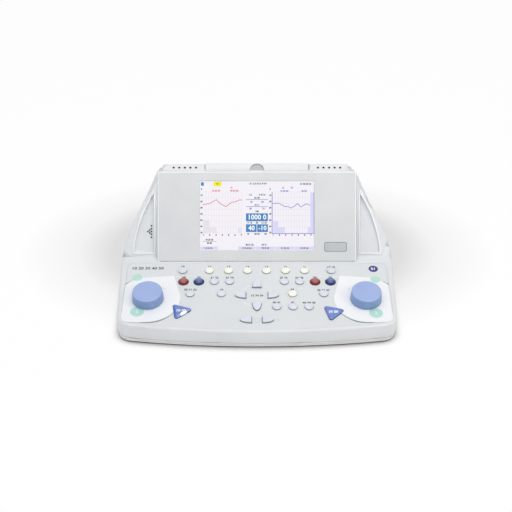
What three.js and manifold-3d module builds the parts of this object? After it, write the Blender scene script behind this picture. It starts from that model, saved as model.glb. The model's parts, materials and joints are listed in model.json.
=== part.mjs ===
// Clinical audiometer: a desk console with a key deck, two dials, a leaning display and arched wings.
// Millimetres, +Z up, +Y to the rear. Inside this file y is counted from the front lip, and the
// whole console is moved at the end so that its origin is under the middle of its footprint.
import * as THREE from 'three';
import { mergeVertices } from 'three/addons/utils/BufferGeometryUtils.js';
import Module from 'manifold-3d';

const wasm = await Module();
wasm.setup();

// Console footprint and heights
const consoleWidth = 361;
const consoleDepth = 285;
const frontNarrowing = 8.4;
const rearNarrowing = 31;
const frontArcRadius = 1140;
const frontCorner = 18;
const rearCorner = 32;
const rearRimHeight = 38;
const lipHeight = 27;
const deckSlope = THREE.MathUtils.degToRad(7);
const skirtBottom = 7.9;
const skirtDraft = 0.8;
const lipRound = 3.4;
const wall = 3;

// Arched rear housing
const deckShare = 0.48246;
const archFoot = consoleDepth * deckShare;
const archLean = THREE.MathUtils.degToRad(33);
const archInset = 1;
const archSkirt = 8.12;
const archBase = rearRimHeight - archSkirt;
const archShoulderShare = 0.6;
const archShoulderNarrowing = 17;
const archTopNarrowing = 133;
const archRearFootNarrowing = 45;
const archRearShoulderNarrowing = 101;
const archRearTopNarrowing = 105;
const roofFrontHeight = 141.5;
const stripLength = 8.7;
const stripRise = THREE.MathUtils.degToRad(29);
const rearEdgeHeight = 55.7;
const housingReach = 400;

// Facets round the curved forms
const keySides = 10;
const holeSides = 8;
const boreSides = 10;
const dialSides = 32;

// Fits
const gap = 0.3;
const keyGap = 0.4;
const overrun = 5;

// Deck recess and overlay
const overlayInset = 9.8;
const overlayHalfWidth = consoleWidth / 2 - overlayInset;
const overlayFront = 3.6;
const overlayGap = 2;
const overlayCorner = 9;
const overlayThickness = 0.6;
const overlayDrop = 0.2;

// Keys
const keyTravel = 1.2;
const keyRise = 2.6;
const keyEdge = 1;
const flangeWidth = 1.4;
const flangeThickness = 1;
const keyUnitShare = 0.055401662049861;
const keyUnit = consoleWidth * keyUnitShare;
const functionCount = 6;
const fourthCount = 3;
const toneKeyRise = 3.4;
const leftToneTurn = THREE.MathUtils.degToRad(-19.9);
const rightToneTurn = THREE.MathUtils.degToRad(-15.2);

// Across the deck, in shares of the key unit: half widths and places from the middle
const acrossShares = {
  roundKey: 0.28, functionPitch: 1.25, outerKey: 4.875, pairKey: 1.775, pairPitch: 1, thirdOuter: 4.29,
  thirdInner: 2.28, fourthKey: 1.25, fourthPitch: 1.025, arrowInner: 0.72, arrowLength: 0.68,
  arrowWidth: 0.57, pageInner: 0.345, pageLength: 0.71, pageWidth: 0.54, toneKey: 0.81, toneCorner: 0.13,
  leftTone: -4.835, rightTone: 4.785, dial: 6.94, dialPlate: 2.05, plateLobe: 5.35,
};
const across = scaled(acrossShares, keyUnit);

// Up the deck, in shares of its depth
const rowShares = {
  function: 0.8058, pair: 0.6545, third: 0.4873, fourth: 0.3142, arrow: 0.4676, page: 0.1455,
  leftTone: 0.2589, rightTone: 0.2422, dial: 0.4145,
};
const row = scaled(rowShares, archFoot);

function scaled(shares, size) {
  return Object.fromEntries(Object.entries(shares).map(([name, share]) => [name, share * size]));
}

// Dials, their plates and encoders
const dialPlace = across.dial;
const dialRow = row.dial;
const dialRadius = keyUnit;
const dialTaper = 1;
const dialHeight = 14;
const dialEdge = 1.4;
const stemRadius = 3;
const plateRadius = across.dialPlate;
const plateThickness = 0.6;
const plateFront = dialRow - plateRadius;
const plateShoulderRise = 11;
const plateShoulder = row.pair + plateShoulderRise;
const plateLobe = across.plateLobe;
const plateCorner = 11;
const bushingRadius = 4.5;
const encoderSize = 14;
const encoderDepth = 8;

// Key mat and boards
const matMargin = 2.8;
const matHalfWidth = dialPlace - encoderSize - matMargin;
const matFrontGap = 0.45;
const matFront = frontLine(matHalfWidth) + wall + matFrontGap;
const matRear = row.function + keyUnit / 2 - matMargin / 2;
const matGap = keyTravel + keyGap;
const matThickness = 1.5;
const boardThickness = 1.6;
const deckBossRadius = 3;
const deckBossInset = 4;

// Display pod
const podLean = THREE.MathUtils.degToRad(36);
const podAhead = 10;
const podFoot = archFoot / Math.cos(deckSlope) - podAhead;
const podNarrowing = 96;
const podWidth = consoleWidth - podNarrowing;
const podTopGap = 1.2;
const podCorner = 3;
const podFlare = 2.6;
const podRound = 1.6;
const podSlab = 12;
const plugMargin = 6;
const plugDepth = 9.6;
const plugStart = 1;
const plugClear = 1.3;
const plugWall = 2.6;
const screenSide = 56.3;
const screenWidth = podWidth - screenSide * 2;
const screenFoot = 15.7;
const windowFrame = 2.1;
const glassThickness = 1.5;
const glassMargin = 2.8;
const moduleThickness = 5;
const moduleMargin = 4.4;

// Wing recesses, grille and loudspeaker
const recessGap = 5.3;
const recessSide = 17;
const recessInner = podWidth / 2 + recessGap;
const recessOuter = consoleWidth / 2 - recessSide;
const recessFoot = 6;
const recessHead = 32.4;
const recessDepth = 2;
const recessTilt = THREE.MathUtils.degToRad(4);
const rimWidth = 2.2;
const rimRise = 0.7;
const backingDepth = 8;
const grilleRadius = 0.95;
const grilleInset = 3.4;
const grillePlace = recessInner + grilleInset;
const grilleHeight = 34.1;
const grillePitch = 3.8;
const grilleStep = 2.3;
const speakerRadius = 13;
const speakerMagnetRadius = 7;
const speakerDepth = 9;

// Roof vents
const ventRadius = 1.35;
const ventMargin = 12.6;
const ventPitch = 7.45;
const ventCount = 5;
const ventOffset = 3.2;

// Roof lid and its hinge
const lidWidth = 137.4;
const lidThickness = 2.2;
const lidProud = 0.8;
const lidStart = -4;
const lidHingeGap = 3.2;
const notchRadius = 9.2;
const hingeShare = 0.5957;
const hingeDrop = 1.4;
const pinRadius = 1.25;
const knuckleRadius = 2.9;
const knuckleWidth = 14;
const knuckleInset = 21.7;
const earWidth = 9;
const earGap = 0.8;
const pinInset = 12.7;
const grooveGap = 0.4;
const grooveRadius = knuckleRadius + grooveGap;
const hingeBlockDepth = 8;
const hingeBlockWidth = 6;

// Paper well, print head and platen
const wellInset = 8.7;
const wellWall = 2;
const wellCentreShare = 0.3745;
const wellDepthShare = 0.3576;
const wellRadiusShare = 0.2043;
const headBayClear = 2.23;
const headBayLength = 16.5;
const headBayFloorGap = 1.3;
const headThickness = 3.6;
const headTop = 4;
const headInset = 5;
const headFootLength = 14;
const headFootThickness = 0.5;
const platenGap = 0.7;
const platenDrop = 7.4;
const platenRadius = 3.8;
const platenInset = 5.5;
const platenShaftRadius = 2;
const platenEarThickness = 3;
const platenEarRadius = 3.8;

// Connector plate and what it carries
const plateRecessMargin = 13;
const rearShares = {
  jackFirst: -0.408333, jackPitch: 0.0916667, usb: 0.1416667, usbPitch: 0.0833333, inlet: 0.3166667,
  switch: 0.4208333,
};
const plateRecessHeight = 32;
const connectorClear = 0.4;
const connectorLedge = 3.5;
const connectorRecess = 3.6;
const connectorThickness = 1.2;
const connectorBacking = 7;
const jackCount = 6;
const jackBore = 3.3;
const jackRadius = 5.2;
const jackFlange = 7;
const jackLength = 17;
const jackBlind = 2;
const usbCount = 2;
const usbWidth = 14;
const usbHeight = 6.6;
const usbWall = 0.7;
const usbTongue = 1.9;
const usbDepth = 9;
const boardMargin = 4;
const inletWidth = 9;
const inletHeight = 11;
const inletBore = 2.9;
const inletPin = 1.2;
const inletLength = 14;
const inletMouth = 10;
const switchWidth = 12;
const switchHeight = 17;
const switchFrameWidth = 1.6;
const switchDepth = 12;
const rockerTilt = THREE.MathUtils.degToRad(7);
const rockerDepth = 8;

// Bottom tray, main board, feet and screws
const footHeight = 1.2;
const footRadius = 8;
const footRecess = 1;
const footInset = 37;
const footRearInset = 44.75;
const footFront = 38;
const footRearGap = 45;
const trayFloor = 2.5;
const trayStep = 0.4;
const trayTuck = 1.8;
const trayTongueHeight = 5;
const trayTongueWall = 2;
const screwInset = 22.7;
const screwRearInset = 19.94;
const screwFront = 30;
const screwRearGap = 39;
const screwShank = 1.6;
const screwHead = 3.4;
const counterboreDepth = 1.6;
const screwBossRadius = 4.2;
const bossSplit = 12;
const screwLength = 16;
const boardSide = 72.5;
const boardFrontGap = 20.5;
const boardRearGap = 35;
const standoffRadius = 3.5;
const standoffTop = 8.5;
const standoffMargin = 8;
const chipHeight = 4;
const chipSide = 16;
const slotCount = 4;
const slotPitch = 12;
const slotWidth = 3;
const slotLength = 34;
const slotSide = 120.5;

// Finishes
const caseWhite = { color: 0xe3e7ea, roughness: 0.45, metalness: 0 };
const trayGrey = { color: 0xc5c7c6, roughness: 0.5, metalness: 0 };
const panelGrey = { color: 0xdadee1, roughness: 0.45, metalness: 0 };
const plateWhite = { color: 0xf6f7f9, roughness: 0.35, metalness: 0 };
const dialBlue = { color: 0x9db3e4, roughness: 0.4, metalness: 0 };
const keyCream = { color: 0xf5f5eb, roughness: 0.4, metalness: 0 };
const keyGrey = { color: 0xe1e5ee, roughness: 0.4, metalness: 0 };
const keyRed = { color: 0xa03c3c, roughness: 0.35, metalness: 0 };
const keyBlue = { color: 0x2c4a9a, roughness: 0.35, metalness: 0 };
const toneBlue = { color: 0x5a74c8, roughness: 0.25, metalness: 0 };
const screenWhite = { color: 0xf4f2fd, roughness: 0.15, metalness: 0 };
const rubberBlack = { color: 0x2a2b2d, roughness: 0.8, metalness: 0 };
const boardGreen = { color: 0x1f6b45, roughness: 0.6, metalness: 0 };
const plasticBlack = { color: 0x1d1e20, roughness: 0.5, metalness: 0 };
const steel = { color: 0xb9bcc0, roughness: 0.35, metalness: 1 };

// Solids: closed meshes become manifolds for joining and cutting, and come back as geometry
function solidOf(geometry) {
  const bare = geometry.clone();
  bare.deleteAttribute('normal');
  bare.deleteAttribute('uv');
  const merged = mergeVertices(bare, 1e-4);
  const vertProperties = new Float32Array(merged.attributes.position.array);
  const triVerts = new Uint32Array(merged.index.array);
  return new wasm.Manifold(new wasm.Mesh({ numProp: 3, vertProperties, triVerts }));
}

function geometryOf(solid) {
  const mesh = solid.getMesh();
  const geometry = new THREE.BufferGeometry();
  geometry.setAttribute('position', new THREE.BufferAttribute(new Float32Array(mesh.vertProperties), 3));
  geometry.setIndex(new THREE.BufferAttribute(new Uint32Array(mesh.triVerts), 1));
  geometry.computeVertexNormals();
  return geometry;
}

function joined(solids) {
  return solids.reduce((whole, piece) => whole.add(piece));
}

function meshOf(name, solid, finish) {
  const mesh = new THREE.Mesh(geometryOf(solid), new THREE.MeshStandardMaterial(finish));
  mesh.name = name;
  return mesh;
}

// Outline helpers, all counter-clockwise in their own plane
function circle(x, y, radius, sides) {
  const turn = (2 * Math.PI) / sides;
  return Array.from({ length: sides }, (_, i) => (
    new THREE.Vector2(x + radius * Math.cos(i * turn), y + radius * Math.sin(i * turn))));
}

function rectangle(x0, y0, x1, y1) {
  return [new THREE.Vector2(x0, y0), new THREE.Vector2(x1, y0),
    new THREE.Vector2(x1, y1), new THREE.Vector2(x0, y1)];
}

function outlineOf(shape, curveSteps) {
  const points = shape.getPoints(curveSteps);
  const kept = points.filter((p, i) => i === 0 || p.distanceTo(points[i - 1]) > 1e-3);
  if (kept[0].distanceTo(kept[kept.length - 1]) < 1e-3) kept.pop();
  return THREE.ShapeUtils.isClockWise(kept) ? kept.reverse() : kept;
}

// The outline moved inwards by a distance, corner by corner
function inward(outline, distance) {
  const count = outline.length;
  return outline.map((point, i) => {
    const before = outline[(i + count - 1) % count];
    const after = outline[(i + 1) % count];
    const into = new THREE.Vector2(before.y - point.y, point.x - before.x).normalize();
    const out = new THREE.Vector2(point.y - after.y, after.x - point.x).normalize();
    const along = into.clone().add(out).normalize();
    return point.clone().addScaledVector(along, distance / along.dot(out));
  });
}

function mirrored(outline) {
  return outline.map((p) => new THREE.Vector2(-p.x, p.y)).reverse();
}

// An open line moved sideways, used for the section of the folded lid
function besideLine(line, distance) {
  return line.map((point, i) => {
    const before = line[Math.max(i - 1, 0)];
    const after = line[Math.min(i + 1, line.length - 1)];
    const into = point.clone().sub(before);
    const out = after.clone().sub(point);
    const first = (into.length() > 0 ? into : out).clone().normalize();
    const last = (out.length() > 0 ? out : into).clone().normalize();
    const normal = new THREE.Vector2(-first.y - last.y, first.x + last.x).normalize();
    const square = new THREE.Vector2(-last.y, last.x);
    return point.clone().addScaledVector(normal, distance / normal.dot(square));
  });
}

function prism(outline, from, to, frame) {
  const settings = { depth: to - from, bevelEnabled: false };
  const geometry = new THREE.ExtrudeGeometry(new THREE.Shape(outline), settings);
  geometry.translate(0, 0, from);
  if (frame) geometry.applyMatrix4(frame);
  return solidOf(geometry);
}

// Skin through rings of equal count, closed at both ends
function loft(rings, frame) {
  const count = rings[0].length;
  const positions = rings.flat().flatMap((p) => [p.x, p.y, p.z]);
  const index = [];
  for (let r = 0; r < rings.length - 1; r += 1) {
    for (let i = 0; i < count; i += 1) {
      const a = r * count + i;
      const b = r * count + ((i + 1) % count);
      index.push(a, b, b + count, a, b + count, a + count);
    }
  }
  const flat = rings.map((ring) => ring.map((p) => new THREE.Vector2(p.x, p.y)));
  THREE.ShapeUtils.triangulateShape(flat[0], []).forEach(([a, b, c]) => index.push(c, b, a));
  const last = (rings.length - 1) * count;
  THREE.ShapeUtils.triangulateShape(flat[rings.length - 1], [])
    .forEach(([a, b, c]) => index.push(last + a, last + b, last + c));
  const geometry = new THREE.BufferGeometry();
  geometry.setAttribute('position', new THREE.Float32BufferAttribute(positions, 3));
  geometry.setIndex(index);
  if (frame) geometry.applyMatrix4(frame);
  return solidOf(geometry);
}

function ringAt(outline, height) {
  return outline.map((p) => new THREE.Vector3(p.x, p.y, height));
}

// A solid of steps: each step is [inset of the outline, height]
function stepped(outline, steps, frame) {
  return loft(steps.map(([inset, height]) => ringAt(inward(outline, inset), height)), frame);
}

// A turned solid about local Z, its profile as [radius, height] from the bottom up
function turned(profile, sides, frame) {
  const points = profile.map(([radius, height]) => new THREE.Vector2(radius, height));
  const geometry = new THREE.LatheGeometry(points, sides);
  geometry.rotateX(Math.PI / 2);
  if (frame) geometry.applyMatrix4(frame);
  return solidOf(geometry);
}

// Frames: each maps a flat sketch plane or a leaning face into the console
const unitX = new THREE.Vector3(1, 0, 0);
const unitY = new THREE.Vector3(0, 1, 0);
const unitZ = new THREE.Vector3(0, 0, 1);
const sideSketch = new THREE.Matrix4().makeBasis(unitY, unitZ, unitX);
const frontSketch = new THREE.Matrix4().makeBasis(unitX, unitZ, unitY.clone().negate());

function leaning(y, z, turn) {
  return new THREE.Matrix4().makeTranslation(0, y, z).multiply(new THREE.Matrix4().makeRotationX(turn));
}

function deckTop(y) {
  return lipHeight + y * Math.tan(deckSlope);
}

const quarterTurn = Math.PI / 2;
const deckFrame = leaning(0, lipHeight, deckSlope);
const podFootY = podFoot * Math.cos(deckSlope);
const podFootZ = lipHeight + podFoot * Math.sin(deckSlope);
const podFrame = leaning(podFootY, podFootZ, quarterTurn - podLean);
const podHeight = (roofFrontHeight - podFootZ) / Math.cos(podLean) - podTopGap;
const wingFrame = leaning(archFoot, deckTop(archFoot), quarterTurn - archLean);
const wingHeight = (roofFrontHeight - deckTop(archFoot)) / Math.cos(archLean);
const roofFrontY = archFoot + (roofFrontHeight - deckTop(archFoot)) * Math.tan(archLean);
const stripFrame = leaning(roofFrontY, roofFrontHeight, stripRise);
const crestY = roofFrontY + stripLength * Math.cos(stripRise);
const crestZ = roofFrontHeight + stripLength * Math.sin(stripRise);
const slopeRun = consoleDepth - archInset - crestY;
const rearSlope = Math.atan2(crestZ - rearEdgeHeight, slopeRun);
const slopeLength = slopeRun / Math.cos(rearSlope);
const slopeFrame = leaning(crestY, crestZ, -rearSlope);

// The print head's bay starts down the slope where its lower corner clears the front wall, and the
// display's plug and screen end below that corner
const bayTurn = rearSlope - archLean;
const headBayDepth = platenDrop + platenRadius + headBayFloorGap;
const bayReach = headBayDepth + wellWall;
const bayAhead = headBayClear - stripLength * Math.cos(stripRise + archLean) + bayReach * Math.sin(bayTurn);
const bayCorner = bayAhead / Math.cos(bayTurn);
const headBayStart = bayCorner + wellWall;
const headBayEnd = headBayStart + headBayLength;
const headStart = headBayStart + gap;
const platenPlace = headStart + headThickness + platenRadius + platenGap;
const cornerY = crestY + bayCorner * Math.cos(rearSlope) - bayReach * Math.sin(rearSlope);
const cornerZ = crestZ - bayCorner * Math.sin(rearSlope) - bayReach * Math.cos(rearSlope);
const cornerRise = (cornerY - podFootY) * Math.sin(podLean) + (cornerZ - podFootZ) * Math.cos(podLean);
const plugTop = cornerRise - plugClear;
const screenHeight = plugTop - plugWall - moduleMargin - screenFoot;
const slopeSide = slopeFrame.clone().multiply(sideSketch);
const tongueTop = skirtBottom - gap + trayTongueHeight;
const connectorHeight = tongueTop + connectorClear + wall + plateRecessHeight / 2;
const rearFrame = new THREE.Matrix4().makeTranslation(0, consoleDepth, connectorHeight).multiply(frontSketch);

// Footprint: a gentle front arc, rounded corners, sides that flare to the arch and draw in behind it
function frontLine(x) {
  return frontArcRadius - Math.sqrt(frontArcRadius ** 2 - x ** 2);
}

// Half width of the footprint at a distance behind the lip
function sideLine(y) {
  const narrowing = y < archFoot ? frontNarrowing : rearNarrowing;
  const run = y < archFoot ? archFoot - frontCorner : consoleDepth - rearCorner - archFoot;
  return (consoleWidth - (narrowing * Math.abs(y - archFoot)) / run) / 2;
}

function footprint() {
  const half = consoleWidth / 2;
  const front = half - frontNarrowing / 2;
  const rear = half - rearNarrowing / 2;
  const arcEnd = front - frontCorner;
  const shape = new THREE.Shape();
  const arcSteps = 12;
  shape.moveTo(-arcEnd, frontLine(arcEnd));
  for (let i = 1; i <= arcSteps; i += 1) {
    const x = -arcEnd + (2 * arcEnd * i) / arcSteps;
    shape.lineTo(x, frontLine(x));
  }
  const cornerY = frontLine(front);
  shape.quadraticCurveTo(front, cornerY, front, cornerY + frontCorner);
  shape.lineTo(half, archFoot);
  shape.lineTo(rear, consoleDepth - rearCorner);
  shape.quadraticCurveTo(rear, consoleDepth, rear - rearCorner, consoleDepth);
  shape.lineTo(rearCorner - rear, consoleDepth);
  shape.quadraticCurveTo(-rear, consoleDepth, -rear, consoleDepth - rearCorner);
  shape.lineTo(-half, archFoot);
  shape.lineTo(-front, cornerY + frontCorner);
  shape.quadraticCurveTo(-front, cornerY, -arcEnd, frontLine(arcEnd));
  return outlineOf(shape, 5);
}

const plan = footprint();

// Lower body up to the sloping deck, its top edge rounded; behind the arch foot its rim falls to the
// rear. A shell distance makes its hollow
function lowerBody(shell, bottom) {
  const roundShare = [[0, 1], [0.12, 0.5], [0.45, 0.14], [1, 0]];
  const foot = ringAt(inward(plan, shell + skirtDraft), bottom);
  const top = roundShare.map(([insetShare, dropShare]) => inward(plan, shell + insetShare * lipRound)
    .map((p) => new THREE.Vector3(p.x, p.y, deckTop(p.y) - shell - dropShare * lipRound)));
  const rimFront = new THREE.Vector2(archFoot, deckTop(archFoot) - shell);
  const rimRear = new THREE.Vector2(consoleDepth + overrun, rearRimHeight - shell);
  const above = prism([rimFront, rimRear, new THREE.Vector2(rimRear.x, housingReach),
    new THREE.Vector2(archFoot, housingReach)], -consoleWidth, consoleWidth, sideSketch);
  return loft([foot, ...top]).subtract(above);
}

// Arched housing: a skin from its front arch to its narrower rear one, cut by its side view and the footprint
function archOutline(footNarrowing, shoulderNarrowing, topNarrowing) {
  const footZ = deckTop(archFoot);
  const shoulderZ = footZ + (crestZ - footZ) * archShoulderShare;
  const [foot, shoulder, top] = [footNarrowing, shoulderNarrowing, topNarrowing]
    .map((narrowing) => (consoleWidth - narrowing) / 2);
  const shape = new THREE.Shape();
  shape.moveTo(foot, archBase);
  shape.lineTo(foot, footZ);
  shape.quadraticCurveTo(shoulder, shoulderZ, top, crestZ);
  shape.lineTo(-top, crestZ);
  shape.quadraticCurveTo(-shoulder, shoulderZ, -foot, footZ);
  shape.lineTo(-foot, archBase);
  return outlineOf(shape, 10);
}

function archSection() {
  const rearY = crestY + slopeRun;
  return [
    new THREE.Vector2(archFoot, archBase), new THREE.Vector2(rearY, archBase),
    new THREE.Vector2(rearY, rearEdgeHeight),
    new THREE.Vector2(crestY, crestZ), new THREE.Vector2(roofFrontY, roofFrontHeight),
    new THREE.Vector2(archFoot, deckTop(archFoot)),
  ];
}

function archBody(shell) {
  const front = inward(archOutline(archInset * 2, archShoulderNarrowing, archTopNarrowing), shell);
  const rearOutline = archOutline(archRearFootNarrowing, archRearShoulderNarrowing, archRearTopNarrowing);
  const rear = inward(rearOutline, shell);
  const skin = loft([ringAt(rear, -consoleDepth), ringAt(front, -archFoot)], frontSketch);
  const side = prism(inward(archSection(), shell), -consoleWidth, consoleWidth, sideSketch);
  const footing = prism(inward(plan, shell), 0, housingReach);
  return skin.intersect(side).intersect(footing);
}

// Deck recess outline, also that of the overlay when moved in by its gap
function overlayOutline() {
  const overlayRear = podFoot - overlayGap;
  const shape = new THREE.Shape();
  const arcSteps = 10;
  const arcEnd = overlayHalfWidth - frontCorner;
  shape.moveTo(-arcEnd, frontLine(arcEnd) + overlayFront);
  for (let i = 1; i <= arcSteps; i += 1) {
    const x = -arcEnd + (2 * arcEnd * i) / arcSteps;
    shape.lineTo(x, frontLine(x) + overlayFront);
  }
  const cornerY = frontLine(overlayHalfWidth) + overlayFront;
  [1, -1].forEach((side) => {
    const edge = side * overlayHalfWidth;
    if (side > 0) {
      shape.quadraticCurveTo(edge, cornerY, edge, cornerY + frontCorner);
      shape.lineTo(edge, overlayRear - overlayCorner);
      shape.quadraticCurveTo(edge, overlayRear, edge - overlayCorner, overlayRear);
    } else {
      shape.lineTo(edge + overlayCorner, overlayRear);
      shape.quadraticCurveTo(edge, overlayRear, edge, overlayRear - overlayCorner);
      shape.lineTo(edge, cornerY + frontCorner);
      shape.quadraticCurveTo(edge, cornerY, -arcEnd, frontLine(arcEnd) + overlayFront);
    }
  });
  return outlineOf(shape, 4);
}

// Key outlines
function bulletOutline(length, width, steps) {
  const shape = new THREE.Shape();
  shape.moveTo(0, -width / 2);
  shape.absellipse(0, 0, length, width / 2, -quarterTurn, quarterTurn, false, 0);
  return outlineOf(shape, steps);
}

function toneOutline() {
  const shape = new THREE.Shape();
  const corner = across.toneCorner;
  const reach = across.toneKey - corner * 2;
  const third = Math.PI / 3;
  [third / 2, third * 2.5, third * 4.5].forEach((turn) => {
    const x = reach * Math.cos(turn);
    const y = reach * Math.sin(turn);
    const start = turn - third;
    if (shape.curves.length === 0) shape.moveTo(x + corner * Math.cos(start), y + corner * Math.sin(start));
    shape.absarc(x, y, corner, start, turn + third, false);
  });
  return outlineOf(shape, 2);
}

function placed(outline, x, y, turn) {
  const centre = new THREE.Vector2(0, 0);
  return outline.map((p) => p.clone().rotateAround(centre, turn).add(new THREE.Vector2(x, y)));
}

const roundKey = (x, y) => circle(x, y, across.roundKey, keySides);
const bullet = bulletOutline(across.arrowLength, across.arrowWidth, 7);
const page = bulletOutline(across.pageLength, across.pageWidth, 7);
const tone = toneOutline();

const keys = [];

function addKey(name, outline, finish, rise = keyRise) {
  keys.push({ name, outline, finish, rise });
}

for (let i = 0; i < functionCount; i += 1) {
  const place = i - (functionCount - 1) / 2;
  addKey(`function_key_${i + 1}`, roundKey(place * across.functionPitch, row.function), keyCream);
}
[['left', -1], ['right', 1]].forEach(([side, sign]) => {
  const pairFinish = [keyGrey, keyGrey, sign < 0 ? keyBlue : keyRed, sign < 0 ? keyRed : keyBlue];
  addKey(`outer_key_${side}`, roundKey(sign * across.outerKey, row.function), keyGrey);
  pairFinish.forEach((finish, i) => {
    const place = across.pairKey + i * across.pairPitch;
    addKey(`pair_key_${side}_${i + 1}`, roundKey(sign * place, row.pair), finish);
  });
  addKey(`third_row_key_${side}_outer`, roundKey(sign * across.thirdOuter, row.third), keyGrey);
  const innerFinish = sign < 0 ? keyGrey : keyCream;
  addKey(`third_row_key_${side}_inner`, roundKey(sign * across.thirdInner, row.third), innerFinish);
});
for (let i = 0; i < fourthCount; i += 1) {
  const place = across.fourthKey + i * across.fourthPitch;
  addKey(`fourth_row_key_${i + 1}`, roundKey(place, row.fourth), keyGrey);
}
['right', 'up', 'left', 'down'].forEach((way, i) => {
  const turn = i * quarterTurn;
  const x = across.arrowInner * Math.cos(turn);
  const y = row.arrow + across.arrowInner * Math.sin(turn);
  addKey(`arrow_key_${way}`, placed(bullet, x, y, turn), keyGrey);
});
addKey('page_key_right', placed(page, across.pageInner, row.page, 0), keyGrey);
addKey('page_key_left', placed(page, -across.pageInner, row.page, Math.PI), keyGrey);
addKey('tone_key_left', placed(tone, across.leftTone, row.leftTone, leftToneTurn), toneBlue, toneKeyRise);
addKey('tone_key_right', placed(tone, across.rightTone, row.rightTone, rightToneTurn), toneBlue, toneKeyRise);

// Levels of the stack in the deck, counted up from the deck face
const overlayTop = -overlayDrop;
const overlayBottom = overlayTop - overlayThickness;
const recessFloor = overlayBottom - gap;
const flangeTop = -wall - gap;
const flangeBottom = flangeTop - flangeThickness;
const matTop = flangeBottom - matGap;
const matBottom = matTop - matThickness;
const boardTop = matBottom - gap;
const boardBottom = boardTop - boardThickness;
const plateBottom = overlayTop + gap;
const plateTop = plateBottom + plateThickness;
const dialBottom = plateTop + gap;

function keySolid({ outline, rise }) {
  return stepped(outline, [
    [-flangeWidth, flangeBottom], [-flangeWidth, flangeTop], [0, flangeTop],
    [0, rise - keyEdge], [keyEdge, rise],
  ]);
}

function keyHoles(from, to, frame) {
  return joined(keys.map(({ outline }) => prism(inward(outline, -keyGap), from, to, frame)));
}

function dialHoles(radius, from, to, frame) {
  return joined([-dialPlace, dialPlace].map((x) => (
    prism(circle(x, dialRow, radius, keySides), from, to, frame))));
}

const overlay = overlayOutline();

// White plate round a dial: a disc, a lobe to its inner rear and a squared outer front corner
function dialPlateOutline() {
  const edge = overlayHalfWidth - gap * 2;
  const reach = Math.acos((edge - dialPlace) / plateRadius);
  const innerEnd = Math.PI - Math.asin((row.pair - dialRow - across.roundKey * 3) / plateRadius);
  const shape = new THREE.Shape();
  shape.moveTo(edge, dialRow + plateRadius * Math.sin(reach));
  shape.absarc(dialPlace, dialRow, plateRadius, reach, quarterTurn, false);
  shape.lineTo(plateLobe + gap * plateCorner, plateShoulder);
  shape.quadraticCurveTo(plateLobe, plateShoulder, plateLobe - gap, plateShoulder - across.roundKey);
  shape.lineTo(dialPlace + plateRadius * Math.cos(innerEnd), dialRow + plateRadius * Math.sin(innerEnd));
  shape.absarc(dialPlace, dialRow, plateRadius, innerEnd, quarterTurn * 3, false);
  shape.lineTo(edge - plateCorner, plateFront);
  shape.quadraticCurveTo(edge, plateFront, edge, plateFront + plateCorner);
  return outlineOf(shape, 12);
}

// Wing recess: straight inner edge and foot, and an outer edge that follows the arch
function recessOutline() {
  const shape = new THREE.Shape();
  const shoulderShare = 0.82;
  const shoulderRiseShare = 0.56;
  const span = recessOuter - recessInner;
  const recessTop = wingHeight - recessHead;
  const rise = recessTop - recessFoot;
  shape.moveTo(recessInner, recessFoot);
  shape.lineTo(recessOuter, recessFoot);
  shape.lineTo(recessOuter, recessFoot * 2);
  shape.quadraticCurveTo(recessInner + span * shoulderShare, recessFoot + rise * shoulderRiseShare,
    recessInner, recessTop);
  return outlineOf(shape, 12);
}

const recess = recessOutline();

const hingeReach = slopeLength * hingeShare;
const lidReach = hingeReach - lidHingeGap;
const knucklePlace = lidWidth / 2 - knuckleInset;
const earPlace = knucklePlace - knuckleWidth / 2 - earGap - earWidth / 2;
const pinLength = lidWidth - pinInset * 2;
const wellHalfWidth = lidWidth / 2 - wellInset;
const wellCentre = slopeLength * wellCentreShare;
const wellDepth = slopeRun * wellDepthShare;
const wellRadius = slopeLength * wellRadiusShare;
const headHalfWidth = wellHalfWidth - headInset;
const platenHalfWidth = wellHalfWidth - platenInset;
const platenEarPlace = platenHalfWidth + gap + platenEarThickness / 2;

// Section of the paper well and of the print head's bay, in distance down the slope and height above it
function wellOutline(margin) {
  const shape = new THREE.Shape();
  const rimLevel = margin > 0 ? -gap : overrun;
  const radius = wellRadius + margin;
  shape.moveTo(wellCentre - radius, rimLevel);
  shape.lineTo(wellCentre - radius, -wellDepth);
  shape.absarc(wellCentre, -wellDepth, radius, Math.PI, 2 * Math.PI, false);
  shape.lineTo(wellCentre + radius, rimLevel);
  return outlineOf(shape, 14);
}

function wellBody(margin) {
  const rimLevel = margin > 0 ? -gap : overrun;
  const half = wellHalfWidth + margin;
  const bay = rectangle(headBayStart - margin, -headBayDepth - margin, headBayEnd + margin, rimLevel);
  return prism(wellOutline(margin), -half, half, slopeSide).add(prism(bay, -half, half, slopeSide));
}

// The folded line that the lid covers, from the front of the roof strip over the crest to the hinge
function lidLine(start, reach) {
  const along = start * Math.cos(stripRise);
  const up = start * Math.sin(stripRise);
  return [
    new THREE.Vector2(roofFrontY + along, roofFrontHeight + up),
    new THREE.Vector2(crestY, crestZ),
    new THREE.Vector2(crestY + reach * Math.cos(rearSlope), crestZ - reach * Math.sin(rearSlope)),
  ];
}

function foldedPlate(start, reach, low, high, half) {
  const line = lidLine(start, reach);
  const section = [...besideLine(line, low), ...besideLine(line, high).reverse()];
  return prism(section, -half, half, sideSketch);
}

function barrel(radius, from, to, sides) {
  return prism(circle(hingeReach, -hingeDrop, radius, sides), from, to, slopeSide);
}

function slopeBox(s0, s1, n0, n1, x0, x1) {
  return prism(rectangle(s0, n0, s1, n1), x0, x1, slopeSide);
}

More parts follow.
